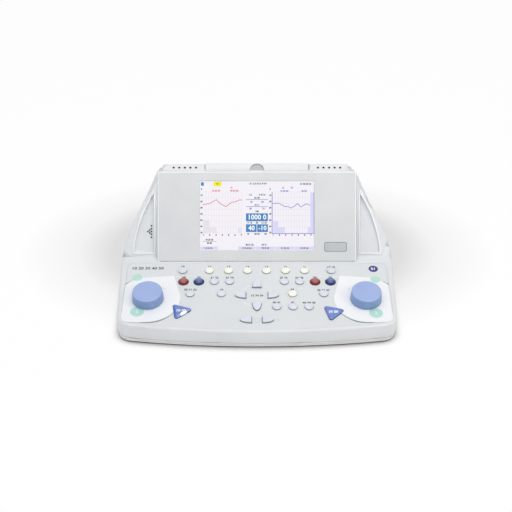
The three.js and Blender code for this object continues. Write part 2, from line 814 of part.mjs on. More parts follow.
const bothSides = [-1, 1];
const wholePlane = rectangle(-consoleWidth, -consoleWidth, consoleWidth, consoleWidth);
const bossPlace = matHalfWidth - deckBossInset;
const deckBosses = [[-bossPlace, matFront + deckBossInset], [bossPlace, matFront + deckBossInset],
  [-bossPlace, matRear - deckBossInset], [bossPlace, matRear - deckBossInset], [0, row.function]];
const screwRear = consoleDepth - screwRearGap;
const screwPlace = sideLine(screwFront) - screwInset;
const screwRearPlace = sideLine(screwRear) - screwRearInset;
const screwSpots = [[-screwPlace, screwFront], [screwPlace, screwFront],
  [-screwRearPlace, screwRear], [screwRearPlace, screwRear]];
const pilotRadius = screwShank + gap;

const plateRecessWidth = consoleWidth - rearNarrowing - (rearCorner + plateRecessMargin) * 2;
const rearPlaces = scaled(rearShares, plateRecessWidth);
const inletPlace = rearPlaces.inlet;
const switchPlace = rearPlaces.switch;

function upperCase() {
  const outer = lowerBody(0, skirtBottom).add(archBody(0));
  const hollow = lowerBody(wall, skirtBottom - overrun).add(archBody(wall));
  const backings = bothSides.map((side) => {
    const outline = side > 0 ? inward(recess, -wall) : mirrored(inward(recess, -wall));
    return prism(outline, -backingDepth, 0, wingFrame);
  });
  const hingeBlock = slopeBox(hingeReach - hingeBlockWidth, hingeReach + hingeBlockWidth,
    -hingeBlockDepth, -gap, -lidWidth / 2, lidWidth / 2);
  const plateBacking = prism(rectangle(-plateRecessWidth / 2 - wall, -plateRecessHeight / 2 - wall,
    plateRecessWidth / 2 + wall, plateRecessHeight / 2 + wall), gap, connectorBacking, rearFrame);
  const boardBosses = deckBosses.map(([x, y]) => (
    prism(circle(x, y, deckBossRadius, holeSides), boardTop + gap, -gap * 2, deckFrame)));
  const screwBosses = screwSpots.map(([x, y]) => (
    prism(circle(x, y, screwBossRadius, holeSides), bossSplit + gap, housingReach)));
  const fittings = joined([...backings, hingeBlock, plateBacking, wellBody(wellWall),
    ...boardBosses, ...screwBosses]);
  let body = outer.subtract(hollow).add(fittings.intersect(outer));

  body = body.subtract(prism(overlay, recessFloor, overrun, deckFrame));
  body = body.subtract(keyHoles(-wall - overrun, overrun, deckFrame));
  body = body.subtract(dialHoles(bushingRadius + gap, -wall - overrun, overrun, deckFrame));

  const plugHalf = podWidth / 2 - plugMargin + gap;
  const opening = rectangle(-plugHalf, plugMargin - gap, plugHalf, plugTop + gap);
  body = body.subtract(prism(opening, -plugDepth - overrun, housingReach, podFrame));

  bothSides.forEach((side) => {
    const outline = side > 0 ? recess : mirrored(recess);
    const beadOutline = inward(recess, -rimWidth)
      .map((p) => new THREE.Vector2(Math.max(p.x, recessInner), p.y));
    const bead = prism(side > 0 ? beadOutline : mirrored(beadOutline), -gap, rimRise, wingFrame);
    const tilt = new THREE.Matrix4().makeTranslation(side * recessOuter, 0, -recessDepth)
      .multiply(new THREE.Matrix4().makeRotationY(-side * recessTilt))
      .multiply(new THREE.Matrix4().makeTranslation(-side * recessOuter, 0, 0));
    const floor = prism(wholePlane, 0, consoleWidth, wingFrame.clone().multiply(tilt));
    const pocket = prism(outline, -backingDepth, overrun, wingFrame).intersect(floor);
    body = body.add(bead).subtract(pocket);
  });
  const grilleShare = [[0, -2], [0, -1], [0, 0], [0, 1], [0, 2], [1, -0.5], [1, 0.5], [2, 0]];
  body = body.subtract(joined(grilleShare.map(([across, up]) => prism(
    circle(-grillePlace - across * grilleStep, grilleHeight + up * grillePitch, grilleRadius, 6),
    -backingDepth - overrun, overrun, wingFrame,
  ))));

  const ventXs = Array.from({ length: ventCount }, (_, i) => lidWidth / 2 + ventMargin + i * ventPitch);
  body = body.subtract(joined([...ventXs, ...ventXs.map((x) => -x)].map((x) => (
    prism(circle(x, ventOffset, ventRadius, 8), -wall - overrun, overrun, stripFrame)))));

  const ledge = lidProud - lidThickness - gap;
  body = body.subtract(foldedPlate(-overrun, hingeReach, ledge, overrun, lidWidth / 2 + gap));
  body = body.subtract(barrel(grooveRadius, -lidWidth / 2 - gap, lidWidth / 2 + gap, 16));
  body = body.subtract(wellBody(0));
  const ears = bothSides.map((side) => {
    const from = side * earPlace - earWidth / 2;
    const web = slopeBox(hingeReach - knuckleRadius, hingeReach + knuckleRadius,
      -hingeBlockDepth + gap, -hingeDrop, from, from + earWidth);
    return barrel(knuckleRadius, from, from + earWidth, boreSides).add(web);
  });
  body = body.add(joined(ears)).subtract(barrel(pinRadius + gap, -pinLength / 2, pinLength / 2, 12));

  const plateHalf = plateRecessWidth / 2;
  const plateRise = plateRecessHeight / 2;
  body = body.subtract(prism(rectangle(-plateHalf, -plateRise, plateHalf, plateRise),
    -overrun, connectorRecess, rearFrame));
  const windowHalf = plateHalf - connectorLedge;
  const windowRise = plateRise - connectorLedge;
  body = body.subtract(prism(rectangle(-windowHalf, -windowRise, windowHalf, windowRise),
    -overrun, connectorBacking + overrun, rearFrame));
  return body.subtract(joined(screwSpots.map(([x, y]) => (
    prism(circle(x, y, pilotRadius, holeSides), 0, screwLength + gap)))));
}

const boardHalfWidth = consoleWidth / 2 - boardSide;
const boardFront = archFoot + boardFrontGap;
const boardRear = consoleDepth - boardRearGap;

function bottomTray() {
  const trayOuter = skirtDraft + trayStep;
  const trayTop = skirtBottom - gap;
  const tongueInset = skirtDraft + wall + gap * 2;
  const shell = stepped(plan, [[trayOuter + trayTuck, footHeight],
    [trayOuter + trayTuck / 3, footHeight + trayTuck / 3], [trayOuter, trayTop]]);
  const tongue = stepped(plan, [[tongueInset, footHeight + trayFloor], [tongueInset, tongueTop]]);
  const inside = stepped(plan, [[tongueInset + trayTongueWall + trayTuck / 2, footHeight + trayFloor],
    [tongueInset + trayTongueWall, tongueTop + overrun]]);
  const bosses = screwSpots.map(([x, y]) => (
    prism(circle(x, y, screwBossRadius, holeSides), footHeight + gap, bossSplit)));
  const standoffRows = [boardFront + standoffMargin, boardRear - standoffMargin];
  const standoffs = bothSides.flatMap((side) => standoffRows.map((y) => (
    prism(circle(side * (boardHalfWidth - standoffMargin), y, standoffRadius, holeSides),
      footHeight + gap, standoffTop))));
  let tray = shell.add(tongue).subtract(inside).add(joined([...bosses, ...standoffs]));
  tray = tray.subtract(joined(screwSpots.flatMap(([x, y]) => [
    prism(circle(x, y, pilotRadius, holeSides), 0, bossSplit + overrun),
    prism(circle(x, y, screwHead + gap, boreSides), 0, footHeight + counterboreDepth),
  ])));
  tray = tray.subtract(joined(feetSpots().map(([x, y]) => (
    prism(circle(x, y, footRadius + gap, 16), 0, footHeight + footRecess)))));
  const slots = bothSides.flatMap((side) => Array.from({ length: slotCount }, (_, i) => {
    const x = side * (consoleWidth / 2 - slotSide + (i - (slotCount - 1) / 2) * slotPitch);
    const y = (boardFront + boardRear) / 2;
    return prism(rectangle(x - slotWidth / 2, y - slotLength / 2, x + slotWidth / 2, y + slotLength / 2),
      0, footHeight + trayFloor + overrun);
  }));
  return tray.subtract(joined(slots));
}

function feetSpots() {
  const footRear = consoleDepth - footRearGap;
  return bothSides.flatMap((side) => [[side * (sideLine(footFront) - footInset), footFront],
    [side * (sideLine(footRear) - footRearInset), footRear]]);
}

function displayBezel() {
  const half = podWidth / 2;
  const shape = new THREE.Shape();
  shape.moveTo(-half + podCorner, 0);
  shape.lineTo(half - podCorner, 0);
  shape.quadraticCurveTo(half, 0, half, podCorner);
  shape.lineTo(half, podHeight - podCorner);
  shape.quadraticCurveTo(half, podHeight, half - podCorner, podHeight);
  shape.lineTo(podCorner - half, podHeight);
  shape.quadraticCurveTo(-half, podHeight, -half, podHeight - podCorner);
  shape.lineTo(-half, podCorner);
  shape.quadraticCurveTo(-half, 0, podCorner - half, 0);
  const outline = outlineOf(shape, 4);
  const roundShare = 0.3;
  const slab = stepped(outline, [[-podFlare, -podSlab], [0, -podRound],
    [podRound * roundShare, -podRound * roundShare], [podRound, 0]], podFrame);
  const aboveDeck = prism(wholePlane, gap, housingReach, deckFrame);
  const beforeWings = prism(wholePlane, gap, housingReach, wingFrame);
  const plug = prism(rectangle(plugMargin - half, plugMargin, half - plugMargin, plugTop),
    -plugDepth, -plugStart, podFrame);
  return slab.intersect(aboveDeck).intersect(beforeWings).add(plug)
    .subtract(podPlate(0, -plugDepth - overrun, overrun))
    .subtract(podPlate(glassMargin + gap, -plugDepth - overrun, -windowFrame))
    .subtract(podPlate(moduleMargin + gap, -plugDepth - overrun, -windowFrame - glassThickness - gap * 2));
}

function podPlate(margin, from, to) {
  return prism(rectangle(-screenWidth / 2 - margin, screenFoot - margin,
    screenWidth / 2 + margin, screenFoot + screenHeight + margin), from, to, podFrame);
}

function printerLid() {
  const low = lidProud - lidThickness;
  let lid = foldedPlate(lidStart, lidReach, low, lidProud, lidWidth / 2);
  lid = lid.subtract(prism(circle(0, 0, notchRadius, 24), -overrun, overrun, stripFrame));
  lid = lid.subtract(prism(wholePlane, 0, housingReach, wingFrame));
  const knuckles = [-knucklePlace, 0, knucklePlace].map((x) => {
    const from = x - knuckleWidth / 2;
    const web = slopeBox(lidReach - lidThickness, hingeReach, low, lidProud, from, from + knuckleWidth);
    return barrel(knuckleRadius, from, from + knuckleWidth, boreSides).add(web);
  });
  const ears = bothSides.map((side) => {
    const from = side * platenEarPlace - platenEarThickness / 2;
    const cheek = prism(circle(platenPlace, -platenDrop, platenEarRadius, 16),
      from, from + platenEarThickness, slopeSide);
    const root = slopeBox(platenPlace - platenEarRadius, platenPlace + platenEarRadius,
      -platenDrop, low + gap, from, from + platenEarThickness);
    return cheek.add(root);
  });
  return lid.add(joined([...knuckles, ...ears]))
    .subtract(barrel(pinRadius + gap, -pinLength, pinLength, 12))
    .subtract(prism(circle(platenPlace, -platenDrop, platenShaftRadius + gap, 14),
      -pinLength, pinLength, slopeSide));
}

function platenRoller() {
  const shaftEnd = platenEarPlace + platenEarThickness / 2;
  const rubber = prism(circle(platenPlace, -platenDrop, platenRadius, 24),
    -platenHalfWidth, platenHalfWidth, slopeSide);
  const shaft = prism(circle(platenPlace, -platenDrop, platenShaftRadius, 14),
    -shaftEnd, shaftEnd, slopeSide);
  return rubber.add(shaft);
}

function printHead() {
  const low = gap - headBayDepth;
  const bar = slopeBox(headStart, headStart + headThickness, low, -headTop, -headHalfWidth, headHalfWidth);
  const foot = slopeBox(headStart, headStart + headFootLength, low, low + headFootThickness,
    -headHalfWidth, headHalfWidth);
  return bar.add(foot);
}

// Rear fittings, in the rear frame: x across, y up from the connector line, depth into the case
const platFace = connectorRecess - gap - connectorThickness;

function jackSpots() {
  return Array.from({ length: jackCount }, (_, i) => rearPlaces.jackFirst + i * rearPlaces.jackPitch);
}

function connectorPlate() {
  const half = plateRecessWidth / 2 - gap;
  const rise = plateRecessHeight / 2 - gap;
  const holes = jackSpots().map((x) => circle(x, 0, jackRadius + gap, boreSides));
  for (let i = 0; i < usbCount; i += 1) {
    holes.push(centred(rearPlaces.usb + i * rearPlaces.usbPitch, usbWidth + gap * 2, usbHeight + gap * 2));
  }
  holes.push(centred(inletPlace, inletWidth + gap * 2, inletHeight + gap * 2));
  holes.push(centred(switchPlace, switchWidth + gap * 4, switchHeight + gap * 4));
  const plate = prism(rectangle(-half, -rise, half, rise),
    platFace, platFace + connectorThickness, rearFrame);
  return plate.subtract(joined(holes.map((hole) => prism(hole, -overrun, connectorBacking, rearFrame))));
}

function centred(x, width, height) {
  return rectangle(x - width / 2, -height / 2, x + width / 2, height / 2);
}

// One upright board carries the jack sockets and the two data sockets
function socketBoard() {
  const face = platFace - gap;
  const jacks = jackSpots().map((x) => {
    const sleeve = prism(circle(x, 0, jackRadius, boreSides), face, jackLength + gap, rearFrame);
    const nut = prism(circle(x, 0, jackFlange, boreSides), 0, face, rearFrame);
    const bore = prism(circle(x, 0, jackBore, boreSides), -overrun, jackLength - jackBlind, rearFrame);
    return sleeve.add(nut).subtract(bore);
  });
  const ports = Array.from({ length: usbCount }, (_, i) => {
    const x = rearPlaces.usb + i * rearPlaces.usbPitch;
    const body = prism(centred(x, usbWidth, usbHeight), face, jackLength + gap, rearFrame);
    const mouth = prism(centred(x, usbWidth - usbWall * 2, usbHeight - usbWall * 2),
      -overrun, usbDepth, rearFrame);
    const tongue = prism(centred(x, usbWidth - usbWall * 4, usbTongue),
      platFace + gap, jackLength, rearFrame);
    return body.subtract(mouth).add(tongue);
  });
  const half = jackRadius + boardMargin;
  const lastPort = rearPlaces.usb + (usbCount - 1) * rearPlaces.usbPitch;
  const sheet = prism(rectangle(rearPlaces.jackFirst - half, -half, lastPort + half, half),
    jackLength, jackLength + boardThickness, rearFrame);
  return sheet.add(joined([...jacks, ...ports]));
}

function powerInlet() {
  const body = prism(centred(inletPlace, inletWidth, inletHeight), platFace - gap, inletLength, rearFrame);
  const bore = prism(circle(inletPlace, 0, inletBore, 16), -overrun, inletMouth, rearFrame);
  const pin = prism(circle(inletPlace, 0, inletPin, 10), platFace + gap, inletLength - gap, rearFrame);
  return body.subtract(bore).add(pin);
}

function switchFrame() {
  const width = switchWidth + gap * 2;
  const height = switchHeight + gap * 2;
  const rim = prism(centred(switchPlace, width + switchFrameWidth * 2, height + switchFrameWidth * 2),
    platFace - gap - switchFrameWidth / 2, platFace - gap, rearFrame);
  const body = prism(centred(switchPlace, width + gap, height + gap), platFace - gap, switchDepth, rearFrame);
  const well = prism(centred(switchPlace, width - gap, height - gap),
    -overrun, switchDepth - switchFrameWidth, rearFrame);
  return rim.add(body).subtract(well);
}

// Rocker: two faces that meet at the middle, and a round back that clears its well as it tips
function powerRocker() {
  const half = (switchHeight - gap * 5) / 2;
  const backShare = 0.8;
  const lift = Math.tan(rockerTilt) * half;
  const face = platFace - gap - switchFrameWidth / 2;
  const shape = new THREE.Shape();
  shape.moveTo(-half, face - lift);
  shape.lineTo(0, face);
  shape.lineTo(half, face);
  shape.lineTo(half * backShare, rockerDepth);
  shape.lineTo(-half * backShare, rockerDepth);
  const halfWidth = (switchWidth - gap * 3) / 2;
  return prism(outlineOf(shape, 2), switchPlace - halfWidth, switchPlace + halfWidth,
    rearFrame.clone().multiply(sideSketch));
}

function encoder(x) {
  const halfSide = encoderSize / 2;
  const body = prism(rectangle(x - halfSide, dialRow - halfSide, x + halfSide, dialRow + halfSide),
    flangeTop - encoderDepth, flangeTop);
  const bushing = prism(circle(x, dialRow, bushingRadius, 20), flangeTop - gap, overlayTop);
  const bore = prism(circle(x, dialRow, stemRadius + gap, 16), flangeTop - encoderDepth - overrun, overrun);
  return body.add(bushing).subtract(bore);
}

function dial() {
  const top = dialBottom + dialHeight;
  const roundShare = 0.3;
  const topRadius = dialRadius - dialTaper;
  const stemBottom = flangeTop - encoderDepth;
  return turned([[0, stemBottom], [stemRadius, stemBottom], [stemRadius, dialBottom],
    [dialRadius, dialBottom], [topRadius, top - dialEdge],
    [topRadius - dialEdge * roundShare, top - dialEdge * roundShare],
    [topRadius - dialEdge, top], [0, top]], dialSides);
}

function keyMat() {
  const sheet = prism(rectangle(-matHalfWidth, matFront, matHalfWidth, matRear), matBottom, matTop);
  return sheet.subtract(joined(deckBosses.map(([x, y]) => (
    prism(circle(x, y, deckBossRadius + gap, holeSides), matBottom - overrun, matTop + overrun)))));
}

function keyBoard() {
  return prism(rectangle(-matHalfWidth, matFront, matHalfWidth, matRear), boardBottom, boardTop);
}

function mainBoard() {
  const bottom = standoffTop + gap;
  const sheet = prism(rectangle(-boardHalfWidth, boardFront, boardHalfWidth, boardRear),
    bottom, bottom + boardThickness);
  const chipShare = [[-0.6, 0.3], [-0.1, 0.6], [0.35, 0.25], [0.7, 0.65]];
  const chips = chipShare.map(([across, along]) => {
    const x = across * boardHalfWidth;
    const y = boardFront + along * (boardRear - boardFront);
    return prism(rectangle(x - chipSide / 2, y - chipSide / 2, x + chipSide / 2, y + chipSide / 2),
      bottom + gap, bottom + boardThickness + chipHeight);
  });
  return sheet.add(joined(chips));
}

function monitorSpeaker() {
  const centre = -grillePlace - grilleStep;
  const face = -backingDepth - gap;
  const frame = wingFrame.clone().multiply(new THREE.Matrix4().makeTranslation(centre, grilleHeight, 0));
  const back = face - speakerDepth;
  return turned([[0, back], [speakerMagnetRadius, back], [speakerMagnetRadius, face - speakerDepth / 2],
    [speakerRadius, face - speakerDepth / 6], [speakerRadius, face], [0, face]], 24, frame);
}

function rubberFoot(x, y) {
  return prism(circle(x, y, footRadius, 16), 0, footHeight + footRecess - gap);
}

// Assembly
const audiometer = new THREE.Group();
audiometer.position.y = -consoleDepth / 2;

const deckGroup = new THREE.Group();
deckGroup.position.z = lipHeight;
deckGroup.rotation.x = deckSlope;
audiometer.add(deckGroup);

const overlaySheet = prism(inward(overlay, gap), overlayBottom, overlayTop)
  .subtract(keyHoles(-overrun, overrun)).subtract(dialHoles(bushingRadius + gap, -overrun, overrun));
deckGroup.add(meshOf('deck_overlay', overlaySheet, panelGrey));

const plateOutline = dialPlateOutline();
[['left', -1], ['right', 1]].forEach(([side, sign]) => {
  const outline = sign > 0 ? plateOutline : mirrored(plateOutline);
  const plate = prism(outline, plateBottom, plateTop)
    .subtract(keyHoles(-overrun, overrun)).subtract(dialHoles(bushingRadius + gap, -overrun, overrun));
  deckGroup.add(meshOf(`dial_plate_${side}`, plate, plateWhite));
  deckGroup.add(meshOf(`encoder_${side}`, encoder(sign * dialPlace), steel));
  const knob = meshOf(`dial_${side}`, dial(), dialBlue);
  knob.position.set(sign * dialPlace, dialRow, 0);
  deckGroup.add(knob);
});
keys.forEach((key) => deckGroup.add(meshOf(key.name, keySolid(key), key.finish)));
deckGroup.add(meshOf('key_mat', keyMat(), rubberBlack));
deckGroup.add(meshOf('key_board', keyBoard(), boardGreen));

const glassBack = -windowFrame - gap - glassThickness;
const moduleFront = glassBack - gap;
audiometer.add(meshOf('upper_case', upperCase(), caseWhite));
audiometer.add(meshOf('bottom_tray', bottomTray(), trayGrey));
audiometer.add(meshOf('display_bezel', displayBezel(), panelGrey));
audiometer.add(meshOf('screen_window', podPlate(glassMargin, glassBack, -windowFrame - gap), screenWhite));
const displayModule = podPlate(moduleMargin, moduleFront - moduleThickness, moduleFront);
audiometer.add(meshOf('display_module', displayModule, plasticBlack));
audiometer.add(meshOf('printer_lid', printerLid(), caseWhite));
const hingePin = barrel(pinRadius, gap - pinLength / 2, pinLength / 2 - gap, 12);
audiometer.add(meshOf('lid_hinge_pin', hingePin, steel));
audiometer.add(meshOf('platen_roller', platenRoller(), rubberBlack));
audiometer.add(meshOf('print_head', printHead(), steel));
audiometer.add(meshOf('connector_plate', connectorPlate(), trayGrey));
audiometer.add(meshOf('socket_board', socketBoard(), plasticBlack));
audiometer.add(meshOf('power_inlet', powerInlet(), plasticBlack));
audiometer.add(meshOf('switch_frame', switchFrame(), plasticBlack));
audiometer.add(meshOf('power_rocker', powerRocker(), plasticBlack));
audiometer.add(meshOf('main_board', mainBoard(), boardGreen));
audiometer.add(meshOf('monitor_speaker', monitorSpeaker(), plasticBlack));
const footNames = ['front_left', 'rear_left', 'front_right', 'rear_right'];
feetSpots().forEach(([x, y], i) => {
  audiometer.add(meshOf(`rubber_foot_${footNames[i]}`, rubberFoot(x, y), rubberBlack));
});

export default audiometer;
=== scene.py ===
import json
import math

import bmesh
import bpy
from mathutils import Matrix, Vector


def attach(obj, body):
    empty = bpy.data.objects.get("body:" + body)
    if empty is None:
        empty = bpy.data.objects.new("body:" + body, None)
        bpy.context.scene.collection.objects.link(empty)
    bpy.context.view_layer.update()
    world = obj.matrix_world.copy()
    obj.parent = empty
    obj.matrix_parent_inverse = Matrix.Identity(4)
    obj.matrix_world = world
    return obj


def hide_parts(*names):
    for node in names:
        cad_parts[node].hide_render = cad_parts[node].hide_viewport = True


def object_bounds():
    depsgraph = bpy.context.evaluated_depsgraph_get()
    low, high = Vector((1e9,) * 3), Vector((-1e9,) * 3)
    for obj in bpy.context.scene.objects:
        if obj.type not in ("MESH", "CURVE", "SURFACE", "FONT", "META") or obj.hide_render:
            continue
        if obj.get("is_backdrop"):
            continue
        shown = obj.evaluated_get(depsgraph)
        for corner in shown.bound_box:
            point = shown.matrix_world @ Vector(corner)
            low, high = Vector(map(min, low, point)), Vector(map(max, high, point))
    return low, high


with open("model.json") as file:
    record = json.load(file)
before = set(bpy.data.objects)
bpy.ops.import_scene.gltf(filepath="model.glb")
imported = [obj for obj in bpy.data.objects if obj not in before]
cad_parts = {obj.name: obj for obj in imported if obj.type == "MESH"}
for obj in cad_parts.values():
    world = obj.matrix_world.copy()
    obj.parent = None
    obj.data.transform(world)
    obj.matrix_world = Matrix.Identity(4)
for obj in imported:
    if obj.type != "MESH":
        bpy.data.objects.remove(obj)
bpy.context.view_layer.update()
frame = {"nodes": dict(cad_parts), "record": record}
cadNodes = frame["nodes"]
scene = bpy.context.scene
scene.view_settings.view_transform = "Standard"
print("frame loaded:", len(cadNodes), "nodes")


# Places. All sizes are in millimetres here and become metres in mm()
def mm(value):
    return value / 1000.0


halfDepth = 142.5  # the console's own y starts at the front lip
plateMiddle = 32  # height of the connector plate's middle


def leaning(y, z, degrees):
    # a plane through that y and z, which rises to the back by the degrees
    return Matrix.Translation((0, mm(y - halfDepth), mm(z))) @ Matrix.Rotation(math.radians(degrees), 4, "X")


deckFrame = leaning(0, 27, 7)
podFrame = leaning(127.542, 42.660, 54)
wingFrame = leaning(137.5, 43.883, 57)
stripFrame = leaning(200.894, 141.5, 29)
# at the rear y points up and z into the case
rearFrame = Matrix.Translation((0, mm(halfDepth), mm(plateMiddle))) @ Matrix(
    ((1, 0, 0, 0), (0, 0, -1, 0), (0, 1, 0, 0), (0, 0, 0, 1)))
flatFrame = Matrix.Translation((0, -mm(halfDepth), 0))


# Camera at the photograph's angle
camera = {"place": (-0.00125, -1.10505, 0.80156), "tilt": 55.5, "lens": 70.3125, "sensor": 36.0, "near": 0.01}

cameraData = bpy.data.cameras.new("camera")
cameraData.lens = camera["lens"]
cameraData.sensor_width = camera["sensor"]
cameraData.clip_start = camera["near"]
cameraObject = bpy.data.objects.new("camera", cameraData)
cameraObject.location = camera["place"]
cameraObject.rotation_euler = (math.radians(camera["tilt"]), 0, 0)
scene.collection.objects.link(cameraObject)
scene.camera = cameraObject


# Materials
mixFirst, mixSecond, mixResult = 6, 7, 2  # the Mix node's sockets for colours
grainHeight = 0.05
polishSpread = 0.04  # how far the roughness drifts over a surface


def linear(hexCode):
    parts = [int(hexCode[i:i + 2], 16) / 255 for i in (0, 2, 4)]
    return [c / 12.92 if c <= 0.04045 else ((c + 0.055) / 1.055) ** 2.4 for c in parts] + [1.0]


def addNode(tree, kind, settings=None, links=None):
    node = tree.nodes.new(kind)
    for key, value in (settings or {}).items():
        if isinstance(key, int) or key in node.inputs:
            node.inputs[key].default_value = value
        else:
            setattr(node, key, value)
    for key, source in (links or {}).items():
        tree.links.new(source, node.inputs[key])
    return node


def newMaterial(name):
    material = bpy.data.materials.new(name)
    material.use_nodes = True
    material.node_tree.nodes.clear()
    return material, material.node_tree


def setTones(ramp, first, last, *between):
    # each stop of the ramp is a place and a colour
    stops = ramp.color_ramp.elements
    for stop, (place, hexCode) in zip(stops, (first, last)):
        stop.position = place
        stop.color = linear(hexCode)
    for place, hexCode in between:
        stops.new(place).color = linear(hexCode)


def surfaceNormal(tree, coord, recipe):
    # a rounded edge first, then the mould's or the film's grain
    edge = addNode(tree, "ShaderNodeBevel", {"samples": 6, "Radius": mm(recipe["edge"])})
    grain = addNode(tree, "ShaderNodeTexNoise", {"Scale": 1 / mm(recipe["grain"]), "Detail": 3.0},
                    {"Vector": coord.outputs["Object"]})
    return addNode(tree, "ShaderNodeBump", {"Strength": recipe["bump"], "Distance": mm(grainHeight)},
                   {"Height": grain.outputs["Fac"], "Normal": edge.outputs["Normal"]})


def addLine(tree, coord, colour, low, high, shade):
    # a parting line between two heights, drawn as painted shade: a dark band where a narrow step in the
    # moulding would be in shade
    place = addNode(tree, "ShaderNodeSeparateXYZ", None, {"Vector": coord.outputs["Object"]})
    offset = addNode(tree, "ShaderNodeMath", {"operation": "SUBTRACT", 1: mm((low + high) / 2)},
                     {0: place.outputs["Z"]})
    away = addNode(tree, "ShaderNodeMath", {"operation": "ABSOLUTE"}, {0: offset.outputs[0]})
    inside = addNode(tree, "ShaderNodeMath", {"operation": "LESS_THAN", 1: mm((high - low) / 2)},
                     {0: away.outputs[0]})
    dark = addNode(tree, "ShaderNodeMix",
                   {"data_type": "RGBA", "blend_type": "MULTIPLY", mixSecond: (shade, shade, shade, 1)},
                   {"Factor": inside.outputs[0], mixFirst: colour})
    return dark.outputs[mixResult]


def addPaintedTopHighlight(tree, coord, colour, low, high, pale):
    # painted highlight: paler from one height up to another, for the light on the caps' tops
    place = addNode(tree, "ShaderNodeSeparateXYZ", None, {"Vector": coord.outputs["Object"]})
    rise = addNode(tree, "ShaderNodeMapRange", {"From Min": mm(low), "From Max": mm(high)},
                   {"Value": place.outputs["Z"]})
    blend = addNode(tree, "ShaderNodeMix", {"data_type": "RGBA", mixSecond: linear(pale)},
                    {"Factor": rise.outputs["Result"], mixFirst: colour})
    return blend.outputs[mixResult]


def mouldedMaterial(name, recipe):
    material, tree = newMaterial(name)
    coord = addNode(tree, "ShaderNodeTexCoord")
    cloud = addNode(tree, "ShaderNodeTexNoise", {"Scale": 1 / mm(recipe["cloud"]), "Detail": 4.0},
                    {"Vector": coord.outputs["Object"]})
    tint = addNode(tree, "ShaderNodeValToRGB", None, {"Fac": cloud.outputs["Fac"]})
    setTones(tint, (0.3, recipe["shade"]), (0.7, recipe["colour"]))
    colour = tint.outputs["Color"]
    if "crown" in recipe:
        colour = addPaintedTopHighlight(tree, coord, colour, *recipe["crown"])
    for low, high in recipe.get("lines", ()):
        colour = addLine(tree, coord, colour, low, high, recipe["lineShade"])
    smooth, dull = recipe["roughness"] - polishSpread, recipe["roughness"] + polishSpread
    polish = addNode(tree, "ShaderNodeMapRange", {"To Min": smooth, "To Max": dull},
                     {"Value": cloud.outputs["Fac"]})
    normal = surfaceNormal(tree, coord, recipe)
    shader = addNode(tree, "ShaderNodeBsdfPrincipled",
                     {"IOR": 1.5, "Metallic": recipe["metallic"], "Coat Weight": recipe["coat"],
                      "Coat Roughness": recipe["coatRoughness"], "Sheen Weight": recipe["sheen"]},
                     {"Base Color": colour, "Roughness": polish.outputs["Result"],
                      "Normal": normal.outputs["Normal"]})
    addNode(tree, "ShaderNodeOutputMaterial", None, {"Surface": shader.outputs["BSDF"]})
    return material


def recipeOf(colour, shade, roughness, grain, bump, edge, **more):
    # the grain, the edge's radius and the clouds of the tint are sizes in millimetres
    usual = {"cloud": 45, "metallic": 0.0, "coat": 0.0, "coatRoughness": 0.12, "sheen": 0.0}
    return {"colour": colour, "shade": shade, "roughness": roughness, "grain": grain, "bump": bump,
            "edge": edge, **usual, **more}


def wallRecipe(colour, shade, roughness):
    return recipeOf(colour, shade, roughness, grain=0.4, bump=0.08, edge=0.2, cloud=8)


def printAndShadeRecipe(colour, shade):
    return recipeOf(colour, shade, 0.46, grain=0.4, bump=0.05, edge=0.1, cloud=12)


